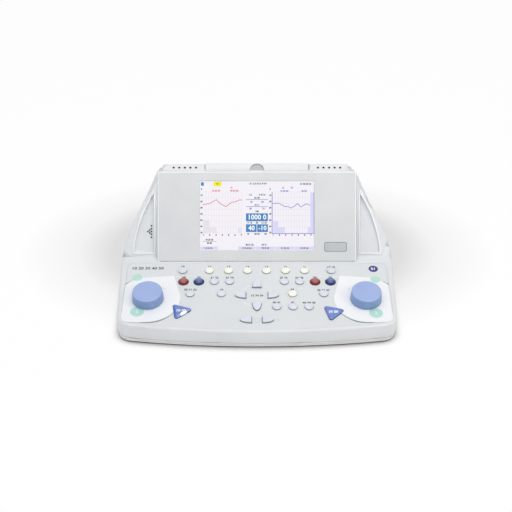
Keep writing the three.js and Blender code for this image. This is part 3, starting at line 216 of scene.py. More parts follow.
recipes = {
    # ABS moulded in a fine spark-eroded tool: satin, with a grain that only shows close up
    "caseAbs": recipeOf("e4e7ea", "dfe2e5", 0.4, grain=0.7, bump=0.12, edge=1.3),
    # the same ABS where the tool was polished, for the gloss, and lighter in colour as a painted highlight:
    # the beads round the wing recesses
    "polishedAbsHighlight": recipeOf("f6f8fa", "f2f5f8", 0.25, grain=0.7, bump=0.04, edge=0.4, coat=0.2),
    # the lid from a later shot of the same mould, a shade lighter
    "lidAbs": recipeOf("e8eaec", "e4e6e9", 0.44, grain=0.7, bump=0.14, edge=1.0),
    # the seat in the notch, in grey: painted shade in the hollow
    "seatShadeGrey": recipeOf("bfc1c4", "b8babe", 0.5, grain=0.7, bump=0.14, edge=0.3),
    # the same ABS in a warmer grey, moulded for the tray, with painted shade along its parting lines
    "trayAbs": recipeOf("eff0ef", "e9eae9", 0.5, grain=0.7, bump=0.16, edge=0.2,
                        lines=[(6.9, 8.2), (4.2, 4.6)], lineShade=0.5),
    # the bezel's bevelled edge, a little smoother, and paler: a painted highlight
    "bezelEdgeHighlight": recipeOf("fcfdfe", "f8fafc", 0.3, grain=0.5, bump=0.04, edge=0.2),
    # bezel ABS with a light satin paint
    "bezelAbs": recipeOf("dee0e2", "d7dadc", 0.4, grain=0.5, bump=0.1, edge=1.3),
    # printed polycarbonate film with a velvet finish
    "velvetFilm": recipeOf("e0e4e6", "dce0e2", 0.5, grain=0.4, bump=0.14, edge=0.2, cloud=70),
    # smooth white polycarbonate sheet
    "whiteSheet": recipeOf("f7f8fa", "f3f5f8", 0.34, grain=0.5, bump=0.05, edge=0.3, cloud=60),
    # soft-touch paint on ABS: dull highlights, slightly velvety
    "softTouchBlue": recipeOf("a4b8e6", "9cb0e0", 0.46, grain=0.5, bump=0.1, edge=1.0, cloud=25, sheen=0.12),
    # the darker tone for the dials' sides is painted shade
    "softTouchSideShade": recipeOf("85a2d0", "7d99c8", 0.5, grain=0.5, bump=0.1, edge=1.0, cloud=25, sheen=0.08),
    # silicone rubber caps with a satin lacquer
    "creamSilicone": recipeOf("fcfbf2", "f6f5ea", 0.4, grain=0.4, bump=0.08, edge=0.7, cloud=8, coat=0.1),
    "greySilicone": recipeOf("e1e6f0", "d8deea", 0.4, grain=0.4, bump=0.08, edge=0.7, cloud=8, coat=0.1),
    # these two have a painted highlight, paler on the crown, from the first height up to the second
    "redSilicone": recipeOf("8e262c", "842228", 0.28, grain=0.4, bump=0.06, edge=0.5, cloud=8, coat=0.5,
                            crown=(40.6, 42.8, "c67c7a")),
    "blueSilicone": recipeOf("223a84", "1e3478", 0.28, grain=0.4, bump=0.06, edge=0.5, cloud=8, coat=0.5,
                             crown=(40.9, 42.9, "86a4d2")),
    # the caps' lower walls: duller rubber, and a darker tone that is painted shade
    "creamWallShade": wallRecipe("b3b3a4", "a7a798", 0.6),
    "greyWallShade": wallRecipe("9a9fa8", "8f949e", 0.6),
    "redWallShade": wallRecipe("6e1c22", "62181d", 0.5),
    "blueWallShade": wallRecipe("1a2a66", "16245a", 0.5),
    # tinted polycarbonate keys, glossy; the darker tone for their sides is painted shade
    "glossBlue": recipeOf("6783d1", "5f7ac7", 0.16, grain=0.6, bump=0.01, edge=0.1, cloud=14, coat=1.0,
                          coatRoughness=0.03),
    "glossWallShade": recipeOf("3f4f94", "384786", 0.3, grain=0.6, bump=0.04, edge=0.2, cloud=14, coat=0.3),
    # black nylon and ABS at the rear and inside
    "blackNylon": recipeOf("24262a", "1c1d20", 0.5, grain=0.5, bump=0.15, edge=0.4, cloud=20),
    # moulded rubber feet, matte with a dusty bloom
    "footRubber": recipeOf("2f3032", "262729", 0.82, grain=0.5, bump=0.3, edge=0.8, cloud=10),
    # ground rubber on the platen and moulded rubber in the key mat, dull
    "platenRubber": recipeOf("33353a", "2b2c30", 0.7, grain=0.3, bump=0.2, edge=0.3, cloud=12),
    # epoxy board under green solder mask
    "solderMask": recipeOf("1f6b45", "195a39", 0.36, grain=1.4, bump=0.1, edge=0.2, cloud=9, coat=0.3),
    # turned and stamped steel, lightly brushed
    "brushedSteel": recipeOf("bfc2c6", "aaadb2", 0.32, grain=0.3, bump=0.08, edge=0.3, cloud=6, metallic=1.0),
    # powder-coated aluminium for the connector plate
    "powderCoat": recipeOf("b9bdc0", "b0b4b8", 0.55, grain=0.35, bump=0.3, edge=0.4, cloud=30),
    # near-black, painted shade: in the holes of the grille and the vents, the screws' cross recesses and the
    # lid's side gaps
    "nearBlackShade": recipeOf("0c0d11", "08090c", 0.95, grain=0.5, bump=0.4, edge=0.1, cloud=6),
    # dark display module behind the window
    "moduleBlack": recipeOf("18191c", "121315", 0.4, grain=0.5, bump=0.1, edge=0.3, cloud=20),
    # screen-printed inks; the ring shade and shadow tones are painted shade, the pale ring tone a painted
    # highlight
    "mintInk": printAndShadeRecipe("bce6da", "b4e0d3"),
    "greyInk": printAndShadeRecipe("6b7076", "63686e"),
    "ringShade": printAndShadeRecipe("b7bcbf", "b0b5b8"),
    "ringHighlight": printAndShadeRecipe("f7f9fb", "f2f5f8"),
    "whiteInk": printAndShadeRecipe("fafbfd", "f3f5f8"),
    "shadowInk": printAndShadeRecipe("6c7176", "64696e"),
    "violetInk": printAndShadeRecipe("3d3a86", "35327a"),
    "darkInk": printAndShadeRecipe("4a4e53", "42464b"),
    "badgeSilver": printAndShadeRecipe("c3c8cc", "babfc4"),
}
materials = {name: mouldedMaterial(name, recipe) for name, recipe in recipes.items()}
print("materials made:", len(materials))


# Pieces
joinGap = {"copy": 0.002, "turned": 0.005}  # points nearer than this become one
bodies = frame["record"]["behaviour"]["bodies"]
nodeBody = {node: body for body, members in bodies.items() for node in members}
nodeSlot = {part["node"]: part["material_slot"] for part in frame["record"]["subparts"]}


def takeMesh(bm, name):
    mesh = bpy.data.meshes.new(name)
    bm.to_mesh(mesh)
    bm.free()
    return mesh


def addPiece(mesh, name, finish, slotName, body="console", place=None, angle=35, stands=()):
    if place is not None:
        mesh.transform(place)
    mesh.shade_smooth()
    mesh.set_sharp_from_angle(angle=math.radians(angle))
    mesh.materials.append(materials[finish])
    piece = bpy.data.objects.new(name, mesh)
    scene.collection.objects.link(piece)
    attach(piece, body)
    if stands:
        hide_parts(*stands)
    return piece


def finishPiece(bm, name, *details, **more):
    bmesh.ops.recalc_face_normals(bm, faces=bm.faces)
    return addPiece(takeMesh(bm, name), name, *details, **more)


def arcPoints(x, y, radius, fromDegrees, toDegrees, steps):
    turns = [math.radians(fromDegrees + (toDegrees - fromDegrees) * i / steps) for i in range(steps + 1)]
    return [(x + radius * math.cos(turn), y + radius * math.sin(turn)) for turn in turns]


def circle(x, y, radius, steps=48):
    return arcPoints(x, y, radius, 0, 360, steps)[:-1]


def boxCorners(x0, y0, x1, y1):
    return [(x0, y0), (x1, y0), (x1, y1), (x0, y1)]


def vertsAt(bm, points, level):
    return [bm.verts.new((mm(x), mm(y), mm(level))) for x, y in points]


def spinSolid(bm, profile, steps, x, y, ring=False):
    # (radius, height) points turned about Z, from the axis back to it, or closed on themselves as a ring
    points = [bm.verts.new((mm(x + radius), mm(y), mm(height))) for radius, height in profile]
    following = points[1:] + points[:1] if ring else points[1:]
    edges = [bm.edges.new(pair) for pair in zip(points, following)]
    bmesh.ops.spin(bm, geom=points + edges, cent=(mm(x), mm(y), 0), axis=(0, 0, 1), angle=2 * math.pi,
                   steps=steps, use_merge=True)
    bmesh.ops.remove_doubles(bm, verts=bm.verts, dist=mm(joinGap["turned"]))


def raiseOutline(bm, outline, low, high, edge=0.0, segments=3, crown=0.0):
    # a flat outline raised to a solid, its top edge rounded and its top drawn up to a point by the crown
    base = bm.faces.new(vertsAt(bm, outline, low))
    raised = bmesh.ops.extrude_face_region(bm, geom=[base], use_keep_orig=True)["geom"]
    topVerts = [item for item in raised if isinstance(item, bmesh.types.BMVert)]
    top = [item for item in raised if isinstance(item, bmesh.types.BMFace)][0]
    bmesh.ops.translate(bm, verts=topVerts, vec=(0, 0, mm(high - low)))
    if edge:
        bmesh.ops.bevel(bm, geom=list(top.edges), offset=mm(edge), offset_type="OFFSET", segments=segments,
                        profile=0.5, affect="EDGES", material=-1)
    if crown:
        top = max(bm.faces, key=lambda face: (round(face.calc_center_median().z, 6), face.calc_area()))
        middle = bmesh.ops.poke(bm, faces=[top])["verts"][0]
        middle.co.z += mm(crown)


# faces between these heights over the wings' plane, outside the inner line and below the top
wingBeads = {"low": 0.1, "high": 0.8, "inner": 133, "top": 112}


def paintBeadHighlights(mesh):
    # the raised beads along the wings' outer edges, in the lighter finish: a painted highlight
    mesh.materials.append(materials["polishedAbsHighlight"])
    intoWing = wingFrame.inverted()
    for face in mesh.polygons:
        place = intoWing @ face.center
        raised = mm(wingBeads["low"]) < place.z < mm(wingBeads["high"])
        if raised and abs(place.x) > mm(wingBeads["inner"]) and 0 < place.y < mm(wingBeads["top"]):
            face.material_index = 1


# the bezel's faces past the side or over the top, before the back, which face between steep and flat
frontBevels = {"side": 120, "top": 112, "back": -1.2, "steep": 0.4, "flat": 0.97}


def paintEdgeHighlight(mesh):
    # the narrow bevels round the bezel's front, paler: a painted highlight
    mesh.materials.append(materials["bezelEdgeHighlight"])
    intoPod = podFrame.inverted()
    turn = intoPod.to_3x3()
    for face in mesh.polygons:
        place = intoPod @ face.center
        facing = (turn @ face.normal).z
        outside = abs(place.x) > mm(frontBevels["side"]) or place.y > mm(frontBevels["top"])
        turned = frontBevels["steep"] < facing < frontBevels["flat"]
        if outside and turned and place.z > mm(frontBevels["back"]):
            face.material_index = 1


# Case, tray, lid, bezel, films and inner parts keep the frame's shapes
dressed = {
    "upper_case": "caseAbs", "bottom_tray": "trayAbs", "display_bezel": "bezelAbs", "printer_lid": "lidAbs",
    "deck_overlay": "velvetFilm", "dial_plate_left": "whiteSheet", "dial_plate_right": "whiteSheet",
    "connector_plate": "powderCoat", "socket_board": "blackNylon", "power_inlet": "blackNylon",
    "switch_frame": "blackNylon", "power_rocker": "blackNylon", "monitor_speaker": "blackNylon",
    "key_mat": "platenRubber", "key_board": "solderMask", "main_board": "solderMask",
    "display_module": "moduleBlack", "screen_window": "moduleBlack", "lid_hinge_pin": "brushedSteel",
    "platen_roller": "platenRubber", "print_head": "brushedSteel", "encoder_left": "brushedSteel",
    "encoder_right": "brushedSteel",
}
# two faces that meet at more than this many degrees keep a sharp edge
sharpAngle = {"upper_case": 24, "bottom_tray": 24, "printer_lid": 24, "others": 32}
secondFinish = {"upper_case": paintBeadHighlights, "display_bezel": paintEdgeHighlight}


def dressCopy(node, finish):
    # the CAD node's own shape with its loose triangles joined, its flats made whole and its curves smooth
    bm = bmesh.new()
    bm.from_mesh(cadNodes[node].data)
    bmesh.ops.remove_doubles(bm, verts=bm.verts, dist=mm(joinGap["copy"]))
    piece = addPiece(takeMesh(bm, node + "_smooth"), node + "_dressed", finish, nodeSlot[node],
                     body=nodeBody[node], angle=sharpAngle.get(node, sharpAngle["others"]), stands=(node,))
    if node in secondFinish:
        secondFinish[node](piece.data)
    weights = piece.modifiers.new("flats", "WEIGHTED_NORMAL")
    weights.mode = "FACE_AREA"
    weights.weight = 100
    weights.keep_sharp = True


for node, finish in dressed.items():
    dressCopy(node, finish)
print("CAD nodes dressed:", len(dressed))


# Rubber feet: turned discs with a chamfered lower edge
feet = {"front": (140.0, 38.0), "rear": (122.0, 240.0), "radius": 8.0, "height": 1.9, "chamfer": (0.5, 0.4),
        "steps": 64}
radius, high, (inset, up) = feet["radius"], feet["height"], feet["chamfer"]
for end in ("front", "rear"):
    for side, sign in (("left", -1), ("right", 1)):
        across, back = feet[end]
        bm = bmesh.new()
        profile = [(0, 0), (radius - inset, 0), (radius, up), (radius, high), (0, high)]
        spinSolid(bm, profile, feet["steps"], sign * across, back)
        node = "rubber_foot_{}_{}".format(end, side)
        finishPiece(bm, node + "_turned", "footRubber", "rubber_black", place=flatFrame, stands=(node,))
print("feet made: 4")


# Keys: caps with rounded crowns and a flange under the deck, one solid each
keyCap = {
    "flangeLow": -4.3, "flangeHigh": -3.3, "flange": 1.4, "flangeEdge": 0.3, "round": 5.6, "sink": 0.01,
    "steps": 48,
    # crowns as (inset, height), from the top of the wall to the middle
    "tall": [(0, 1.5), (0.2, 2.2), (0.65, 2.85), (1.4, 3.35), (2.5, 3.7), (4.0, 3.92), (5.6, 3.98)],
    "dome": [(0, 1.25), (0.15, 1.6), (0.55, 2.0), (1.25, 2.35), (2.3, 2.56), (3.6, 2.66), (5.6, 2.7)],
}
# wall: faces below this height take the darker tone, painted shade
keyLook = {"round": {"angle": 50, "wall": 1.3},
           "shaped": {"angle": 40, "wall": 1.7, "rise": 2.6, "edge": 0.8, "segments": 4, "crown": 0.25},
           "tone": {"angle": 20, "wall": 1.0, "rise": 3.4, "edge": 2.2, "segments": 1, "crown": 0.0}}
slotFinish = {"key_cream": ("creamSilicone", "creamWallShade"), "key_grey": ("greySilicone", "greyWallShade"),
              "key_red": ("redSilicone", "redWallShade"), "key_blue": ("blueSilicone", "blueWallShade"),
              "tone_blue": ("glossBlue", "glossWallShade")}
rows = {"function": 110.8, "pair": 90.0, "third": 67.0, "fourth": 43.2, "arrow": 64.3, "page": 20.0}
# the first key's place across, and the pitch where the row goes on
columns = {"function": (-62.5, 25), "pair": (35.5, 20), "fourth": (25, 20.5), "outer": 97.5,
           "thirdOuter": 85.8, "thirdInner": 45.6}


def columnAt(row, i):
    first, pitch = columns[row]
    return first + pitch * i


roundKeys = {"function_key_%d" % (i + 1): (columnAt("function", i), rows["function"]) for i in range(6)}
for side, sign in (("left", -1), ("right", 1)):
    roundKeys["outer_key_" + side] = (sign * columns["outer"], rows["function"])
    for i in range(4):
        roundKeys["pair_key_%s_%d" % (side, i + 1)] = (sign * columnAt("pair", i), rows["pair"])
    roundKeys["third_row_key_%s_outer" % side] = (sign * columns["thirdOuter"], rows["third"])
    roundKeys["third_row_key_%s_inner" % side] = (sign * columns["thirdInner"], rows["third"])
for i in range(3):
    roundKeys["fourth_row_key_%d" % (i + 1)] = (columnAt("fourth", i), rows["fourth"])


def buildRoundKey(bm, x, y, crown):
    radius = keyCap["round"]
    wide = radius + keyCap["flange"]
    profile = [(0, keyCap["flangeLow"]), (wide, keyCap["flangeLow"]), (wide, keyCap["flangeHigh"]),
               (radius, keyCap["flangeHigh"])]
    spinSolid(bm, profile + [(radius - inset, height) for inset, height in crown], keyCap["steps"], x, y)


def finishKey(bm, node, look):
    bm.normal_update()
    # the faces low on the cap take the darker tone: painted shade
    for face in bm.faces:
        face.material_index = 1 if face.calc_center_median().z < mm(look["wall"]) else 0
    top, wall = slotFinish[nodeSlot[node]]
    cap = finishPiece(bm, node + "_cap", top, nodeSlot[node], body=node, place=deckFrame, angle=look["angle"],
                      stands=(node,))
    cap.data.materials.append(materials[wall])


for node, (x, y) in roundKeys.items():
    bm = bmesh.new()
    # the red and blue caps stand higher than the others
    buildRoundKey(bm, x, y, keyCap["tall" if nodeSlot[node] in ("key_red", "key_blue") else "dome"])
    finishKey(bm, node, keyLook["round"])


# low collars round the red and blue keys, moulded in their colour and pressed into the film; their darker
# tone is painted shade
collarSection = [(5.95, -0.19), (7.1, -0.19), (7.05, 0.1), (6.7, 0.5), (6.2, 0.75), (5.95, 0.75)]
for slotName, finish in (("key_red", "redWallShade"), ("key_blue", "blueWallShade")):
    bm = bmesh.new()
    for node, (x, y) in roundKeys.items():
        if nodeSlot[node] == slotName:
            spinSolid(bm, collarSection, keyCap["steps"], x, y, ring=True)
    finishPiece(bm, slotName + "_collars", finish, slotName, place=deckFrame)


def bulletOutline(x, y, length, width, degrees, grow=0.0, steps=24):
    # flat end at the middle, half an ellipse outwards
    turn = math.radians(degrees)
    outline = []
    for i in range(steps + 1):
        t = math.pi * (i / steps - 0.5)
        along = (length + grow) * math.cos(t) - (grow if i in (0, steps) else 0)
        across = (width / 2 + grow) * math.sin(t)
        outline.append((x + along * math.cos(turn) - across * math.sin(turn),
                        y + along * math.sin(turn) + across * math.cos(turn)))
    return outline


def toneOutline(x, y, degrees, corner, reach, grow=0.0):
    # a triangle with round corners, whose centres are at the reach from its middle
    outline = []
    for start in (30, 150, 270):
        middle = math.radians(start + degrees)
        outline += arcPoints(x + reach * math.cos(middle), y + reach * math.sin(middle), corner + grow,
                             start + degrees - 60, start + degrees + 60, 8)
    return outline


pageKeys = {"place": 6.9, "length": 14.2, "width": 10.8}
toneKeys = {"left": (-96.7, 35.6, -19.9), "right": (95.7, 33.3, -15.2), "corner": 2.6, "reach": 11.0}
arrowKeys = {"reach": 14.4, "length": 13.6, "width": 11.4}
shapedKeys = {}
for side, sign, degrees in (("right", 1, 0), ("left", -1, 180)):
    details = (sign * pageKeys["place"], rows["page"], pageKeys["length"], pageKeys["width"], degrees)
    shapedKeys["page_key_" + side] = (bulletOutline, details)
for side in ("left", "right"):
    shapedKeys["tone_key_" + side] = (toneOutline, (*toneKeys[side], toneKeys["corner"], toneKeys["reach"]))
for i, way in enumerate(("right", "up", "left", "down")):
    turn = i * math.pi / 2
    x, y = arrowKeys["reach"] * math.cos(turn), rows["arrow"] + arrowKeys["reach"] * math.sin(turn)
    shapedKeys["arrow_key_" + way] = (bulletOutline, (x, y, arrowKeys["length"], arrowKeys["width"], i * 90))
for node, (outlineOf, details) in shapedKeys.items():
    look = keyLook["tone" if nodeSlot[node] == "tone_blue" else "shaped"]
    bm = bmesh.new()
    low, high = keyCap["flangeLow"], keyCap["flangeHigh"]
    raiseOutline(bm, outlineOf(*details), high - keyCap["sink"], look["rise"], edge=look["edge"],
                 segments=look["segments"], crown=look["crown"])
    raiseOutline(bm, outlineOf(*details, grow=keyCap["flange"]), low, high, edge=keyCap["flangeEdge"])
    finishKey(bm, node, look)
print("keys made:", len(roundKeys) + len(shapedKeys))


# Dials: turned, with a soft edge and a deeper tone on the side, painted shade
dialShape = {
    "place": 138.8, "row": 57.0, "radius": 20.0, "low": 1.0, "high": 15.0, "foot": 0.4, "stem": 3.0,
    "stemLow": -11.3, "stemEdge": 0.3, "steps": 128, "angle": 60, "steep": 0.5,
    # the rounded edge and the top as (inset, drop) from the side's radius and the top's height
    "edge": [(0.85, 2.0), (1.05, 1.2), (1.5, 0.5), (2.2, 0.1), (3.2, 0), (8, -0.05), (20.0, -0.08)],
}
for side, sign in (("left", -1), ("right", 1)):
    bm = bmesh.new()
    radius, low, foot = dialShape["radius"], dialShape["low"], dialShape["foot"]
    stem, stemLow, stemEdge = dialShape["stem"], dialShape["stemLow"], dialShape["stemEdge"]
    profile = [(0, stemLow), (stem - stemEdge, stemLow), (stem, stemLow + stemEdge), (stem, low),
               (radius - foot, low), (radius, low + foot)]
    profile += [(radius - inset, dialShape["high"] - drop) for inset, drop in dialShape["edge"]]
    spinSolid(bm, profile, dialShape["steps"], sign * dialShape["place"], dialShape["row"])
    bm.normal_update()
    # the steep side faces take the darker tone: painted shade
    for face in bm.faces:
        onSide = abs(face.normal.z) < dialShape["steep"] and face.calc_center_median().z > 0
        face.material_index = 1 if onSide else 0
    node = "dial_" + side
    dial = finishPiece(bm, node + "_turned", "softTouchBlue", "dial_blue", body=node, place=deckFrame,
                       angle=dialShape["angle"], stands=(node,))
    dial.data.materials.append(materials["softTouchSideShade"])
print("dials made: 2")


# Near-black plugs with thin heads, in the holes of the grille and the vents: painted shade for the dark
# holes, the heads a little wider than the holes
holeShade = {
    "grille": (137.8 + 3.4, 34.1), "grilleRadius": 1.15, "grilleStep": (2.3, 3.8), "grilleLift": 0.14,
    "floor": -2.0, "floorEdge": 163.5, "floorFall": 4, "ventRow": 3.2, "ventLift": 0.06, "ventRadius": 1.5,
    "vents": [81.3 + 7.45 * i for i in range(5)], "thick": 1.6, "head": 0.25, "rim": 0.05, "neck": 0.7,
    "steps": 16,
}


def addPlug(bm, x, y, high, radius):
    low, under, neck = high - holeShade["thick"], high - holeShade["head"], radius * holeShade["neck"]
    spinSolid(bm, [(0, low), (neck, low), (neck, under), (radius, under), (radius, high - holeShade["rim"]),
                   (0, high)], holeShade["steps"], x, y)


bm = bmesh.new()
for across, up in ((0, -2), (0, -1), (0, 0), (0, 1), (0, 2), (1, -0.5), (1, 0.5), (2, 0)):
    x, y = holeShade["grille"][0] + across * holeShade["grilleStep"][0], holeShade["grille"][1] + up * holeShade["grilleStep"][1]
    # the recess floor falls away from the outer edge
    floor = holeShade["floor"] - (holeShade["floorEdge"] - x) * math.tan(math.radians(holeShade["floorFall"]))
    addPlug(bm, -x, y, floor + holeShade["grilleLift"], holeShade["grilleRadius"])
finishPiece(bm, "grille_hole_shades", "nearBlackShade", "plastic_black", place=wingFrame)
bm = bmesh.new()
for x in holeShade["vents"]:
    for sign in (-1, 1):
        addPlug(bm, sign * x, holeShade["ventRow"], holeShade["ventLift"], holeShade["ventRadius"])
finishPiece(bm, "vent_hole_shades", "nearBlackShade", "plastic_black", place=stripFrame)

# Finger notch: a shallow grey seat under the lid's half-round cut, its grey painted shade
seat = {"arc": (0, 0, 8.9, 4, 176, 32), "low": -1.65, "high": -1.35, "edge": 0.1}
bm = bmesh.new()
raiseOutline(bm, arcPoints(*seat["arc"]), seat["low"], seat["high"], edge=seat["edge"])
finishPiece(bm, "notch_seat", "seatShadeGrey", "case_white", place=stripFrame)
# thin beads along the inner edges of the wing recesses, glossy, and lighter as a painted highlight
bead = {"inner": 136.0, "outer": 137.6, "low": 4.2, "top": 84.0, "base": -0.05, "rise": 0.6, "edge": 0.35}
bm = bmesh.new()
for sign in (-1, 1):
    raiseOutline(bm, boxCorners(sign * bead["inner"], bead["low"], sign * bead["outer"], bead["top"])[::sign],
                 bead["base"], bead["rise"], edge=bead["edge"], segments=2)
finishPiece(bm, "recess_inner_beads", "polishedAbsHighlight", "case_white", place=wingFrame)
print("dark_plugs, notch seat and beads made")


# Case screws in the tray's counterbores: pan heads, each with a near-black cross as painted shade for its
# cross recess
screws = {
    "spots": [(154.0, 30.0), (146.0, 246.0)], "low": 1.3, "high": 2.75, "length": 15.6, "shank": 1.4,
    "tip": 1, "head": 3.1, "crown": 0.9, "shoulder": (0.2, 0.45), "rim": 0.25, "arm": 1.7, "slot": 0.28,
    "proud": 0.03, "deep": 0.3, "steps": 32,
}


def buildScrew(bm, x, y):
    head, low, high, shank = screws["head"], screws["low"], screws["high"], screws["shank"]
    inset, up = screws["shoulder"]
    spinSolid(bm, [(0, low), (head - screws["crown"], low), (head - inset, low + up),
                   (head, high - screws["rim"]), (head, high), (shank, high),
                   (shank, screws["length"] - screws["tip"]), (0, screws["length"])],
              screws["steps"], x, y)


# a near-black cross set into the head: painted shade for the recess
def addCross(bm, x, y):
    arm, slot, low = screws["arm"], screws["slot"], screws["low"]
    for w, h in ((arm, slot), (slot, arm)):
        raiseOutline(bm, boxCorners(x - w, y - h, x + w, y + h), low - screws["proud"], low + screws["deep"])


bm = bmesh.new()
cross = bmesh.new()
for x, y in screws["spots"]:
    for sign in (-1, 1):
        buildScrew(bm, sign * x, y)
        addCross(cross, sign * x, y)
finishPiece(bm, "case_screws", "brushedSteel", "steel", place=flatFrame)
finishPiece(cross, "screw_recess_shades", "nearBlackShade", "plastic_black", place=flatFrame)
print("case screws made:", 2 * len(screws["spots"]))


# Rear fittings: plain collars round the jacks and flat contacts in the data ports
rear = {
    "jacks": [-98 + 22 * i for i in range(6)], "ports": [34, 54], "inlet": 76, "switch": 101, "face": 2.1,
    "collar": [(3.34, -0.3), (4.6, -0.3), (4.6, 0.2), (3.34, 0.2)], "contactLeft": 4.4, "contactRight": 3.2,
    "contactPitch": 2.5, "contactY": (-1.35, -1.05), "contactZ": (3.2, 8.6), "contacts": 4, "steps": 48,
}
bm = bmesh.new()
for x in rear["jacks"]:
    spinSolid(bm, rear["collar"], rear["steps"], x, 0, ring=True)
finishPiece(bm, "jack_collars", "brushedSteel", "steel", place=rearFrame)
bm = bmesh.new()
for x in rear["ports"]:
    for i in range(rear["contacts"]):
        left = x - rear["contactLeft"] + rear["contactPitch"] * i
        right = x - rear["contactRight"] + rear["contactPitch"] * i
        low, high = rear["contactY"]
        raiseOutline(bm, boxCorners(left, low, right, high), *rear["contactZ"])
finishPiece(bm, "port_contacts", "brushedSteel", "steel", place=rearFrame)
print("rear fittings made:", len(rear["jacks"]) + rear["contacts"] * len(rear["ports"]))


# Display picture: thin lit shapes on the front of the window
display = {
    "width": 152.4, "foot": 15.7, "height": 92.3, "level": -2.38, "step": 0.03, "glow": 0.82, "drift": 0.02,
    "cloud": 60, "body": 0.12,
}
litColours = {
    "ground": "f8f5fc", "blue": "3a84c6", "lavender": "dcdcfa", "violet": "8d84dc", "red": "d84a52",
    "yellow": "f5ee2a", "grid": "ebe3ea", "paleGrid": "e2e0ef", "ink": "26262e", "white": "ffffff",
    "stepGrey": "ebe6f0", "curve": "6a62c8",
}


def litMaterial(name, hexCode):
    # a backlit liquid crystal panel: its own light, faintly uneven, under a smooth glossy window
    material, tree = newMaterial(name)
    coord = addNode(tree, "ShaderNodeTexCoord")
    cloud = addNode(tree, "ShaderNodeTexNoise", {"Scale": 1 / mm(display["cloud"]), "Detail": 1.0},
                    {"Vector": coord.outputs["Object"]})
    low, high = display["glow"] - display["drift"], display["glow"] + display["drift"]
    glow = addNode(tree, "ShaderNodeMapRange", {"To Min": low, "To Max": high},
                   {"Value": cloud.outputs["Fac"]})
    body = [c * display["body"] for c in linear(hexCode)[:3]] + [1.0]
    shader = addNode(tree, "ShaderNodeBsdfPrincipled",
                     {"Base Color": body, "Roughness": 0.18, "IOR": 1.45, "Emission Color": linear(hexCode)},
                     {"Emission Strength": glow.outputs["Result"]})
    addNode(tree, "ShaderNodeOutputMaterial", None, {"Surface": shader.outputs["BSDF"]})
    return material


litMaterials = {key: litMaterial("lit" + key.capitalize(), value) for key, value in litColours.items()}


def addSheet(bm, level, outline):
    bm.faces.new(vertsAt(bm, outline, level))


def addBoxes(bm, level, boxes):
    for box in boxes:
        addSheet(bm, level, boxCorners(*box))


def addRibbon(bm, level, points, width):
    # a line drawn as short overlapping strips with square ends
    for (x0, y0), (x1, y1) in zip(points, points[1:]):
        along = Vector((x1 - x0, y1 - y0))
        side = Vector((-along.y, along.x)).normalized() * width / 2
        end = along.normalized() * width * 0.3
        corners = [(x0 - end.x + side.x, y0 - end.y + side.y), (x0 - end.x - side.x, y0 - end.y - side.y),
                   (x1 + end.x - side.x, y1 + end.y - side.y), (x1 + end.x + side.x, y1 + end.y + side.y)]
        addSheet(bm, level, corners)


def addLines(bm, level, lines):
    for start, end, width in lines:
        addRibbon(bm, level, [start, end], width)


def addNumber(bm, level, text, x, y, size, bold=0.03):
    curve = bpy.data.curves.new("number", "FONT")
    curve.body = text
    curve.size = mm(size)
    curve.offset = mm(size * bold)
    curve.align_x = "CENTER"
    curve.align_y = "CENTER"
    curve.resolution_u = 2
    holder = bpy.data.objects.new("number", curve)
    scene.collection.objects.link(holder)
    mesh = bpy.data.meshes.new_from_object(holder)
    mesh.transform(Matrix.Translation((mm(x), mm(y), mm(level))))
    bm.from_mesh(mesh)
    bpy.data.objects.remove(holder)
    bpy.data.curves.remove(curve)
    bpy.data.meshes.remove(mesh)


def addNumbers(bm, level, numbers, size, bold):
    for text, x, y in numbers:
        addNumber(bm, level, text, x, y, size, bold)


def litPiece(name, key, layer, build, *details):
    # build draws the details at the height of its layer
    bm = bmesh.new()
    build(bm, display["level"] + layer * display["step"], *details)
    mesh = takeMesh(bm, name)
    mesh.transform(podFrame)
    mesh.materials.append(litMaterials[key])
    piece = bpy.data.objects.new(name, mesh)
    scene.collection.objects.link(piece)
    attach(piece, "console")


charts = {"left": (-71.5, -20.6), "right": (21.2, 71.2), "foot": 38.6, "top": 93.6, "columns": 14, "rows": 7,
          "line": 0.35}
halfScreen = display["width"] / 2
screenBox = (-halfScreen, display["foot"], halfScreen, display["foot"] + display["height"])


def chartGrid(bm, level, side):
    x0, x1 = charts[side]
    foot, top = charts["foot"], charts["top"]
    for i in range(charts["columns"] + 1):
        x = x0 + (x1 - x0) * i / charts["columns"]
        addRibbon(bm, level, [(x, foot), (x, top)], charts["line"])
    for i in range(charts["rows"] + 1):
        y = foot + (top - foot) * i / charts["rows"]
        addRibbon(bm, level, [(x0, y), (x1, y)], charts["line"])


litPiece("screen_ground", "ground", 0, addBoxes, [screenBox])
litPiece("screen_grid_left", "grid", 2, chartGrid, "left")
litPiece("screen_grid_right", "paleGrid", 2, chartGrid, "right")

# blocks of tone at the feet of the charts, and the row of buttons below them
greySteps = [(-71.5, 38.6, -63, 56), (-63, 38.6, -54, 46), (-25.4, 38.6, -20.6, 46)]
lavenderSteps = [
    (21.6, 38.6, 28.2, 55), (28.2, 38.6, 37.2, 46.5), (67.4, 38.6, 71.2, 46), (71.2, 38.6, 75.6, 92.6),
    (-75.4, 16.4, -52, 20.6), (-25, 16.4, -2.6, 20.6), (-2, 16.4, 24, 20.6), (24.6, 16.4, 49.6, 20.6),
    (50.2, 16.4, 75.6, 20.6),
]
litPiece("screen_steps_grey", "stepGrey", 1, addBoxes, greySteps)
litPiece("screen_steps_lavender", "lavender", 1, addBoxes, lavenderSteps)

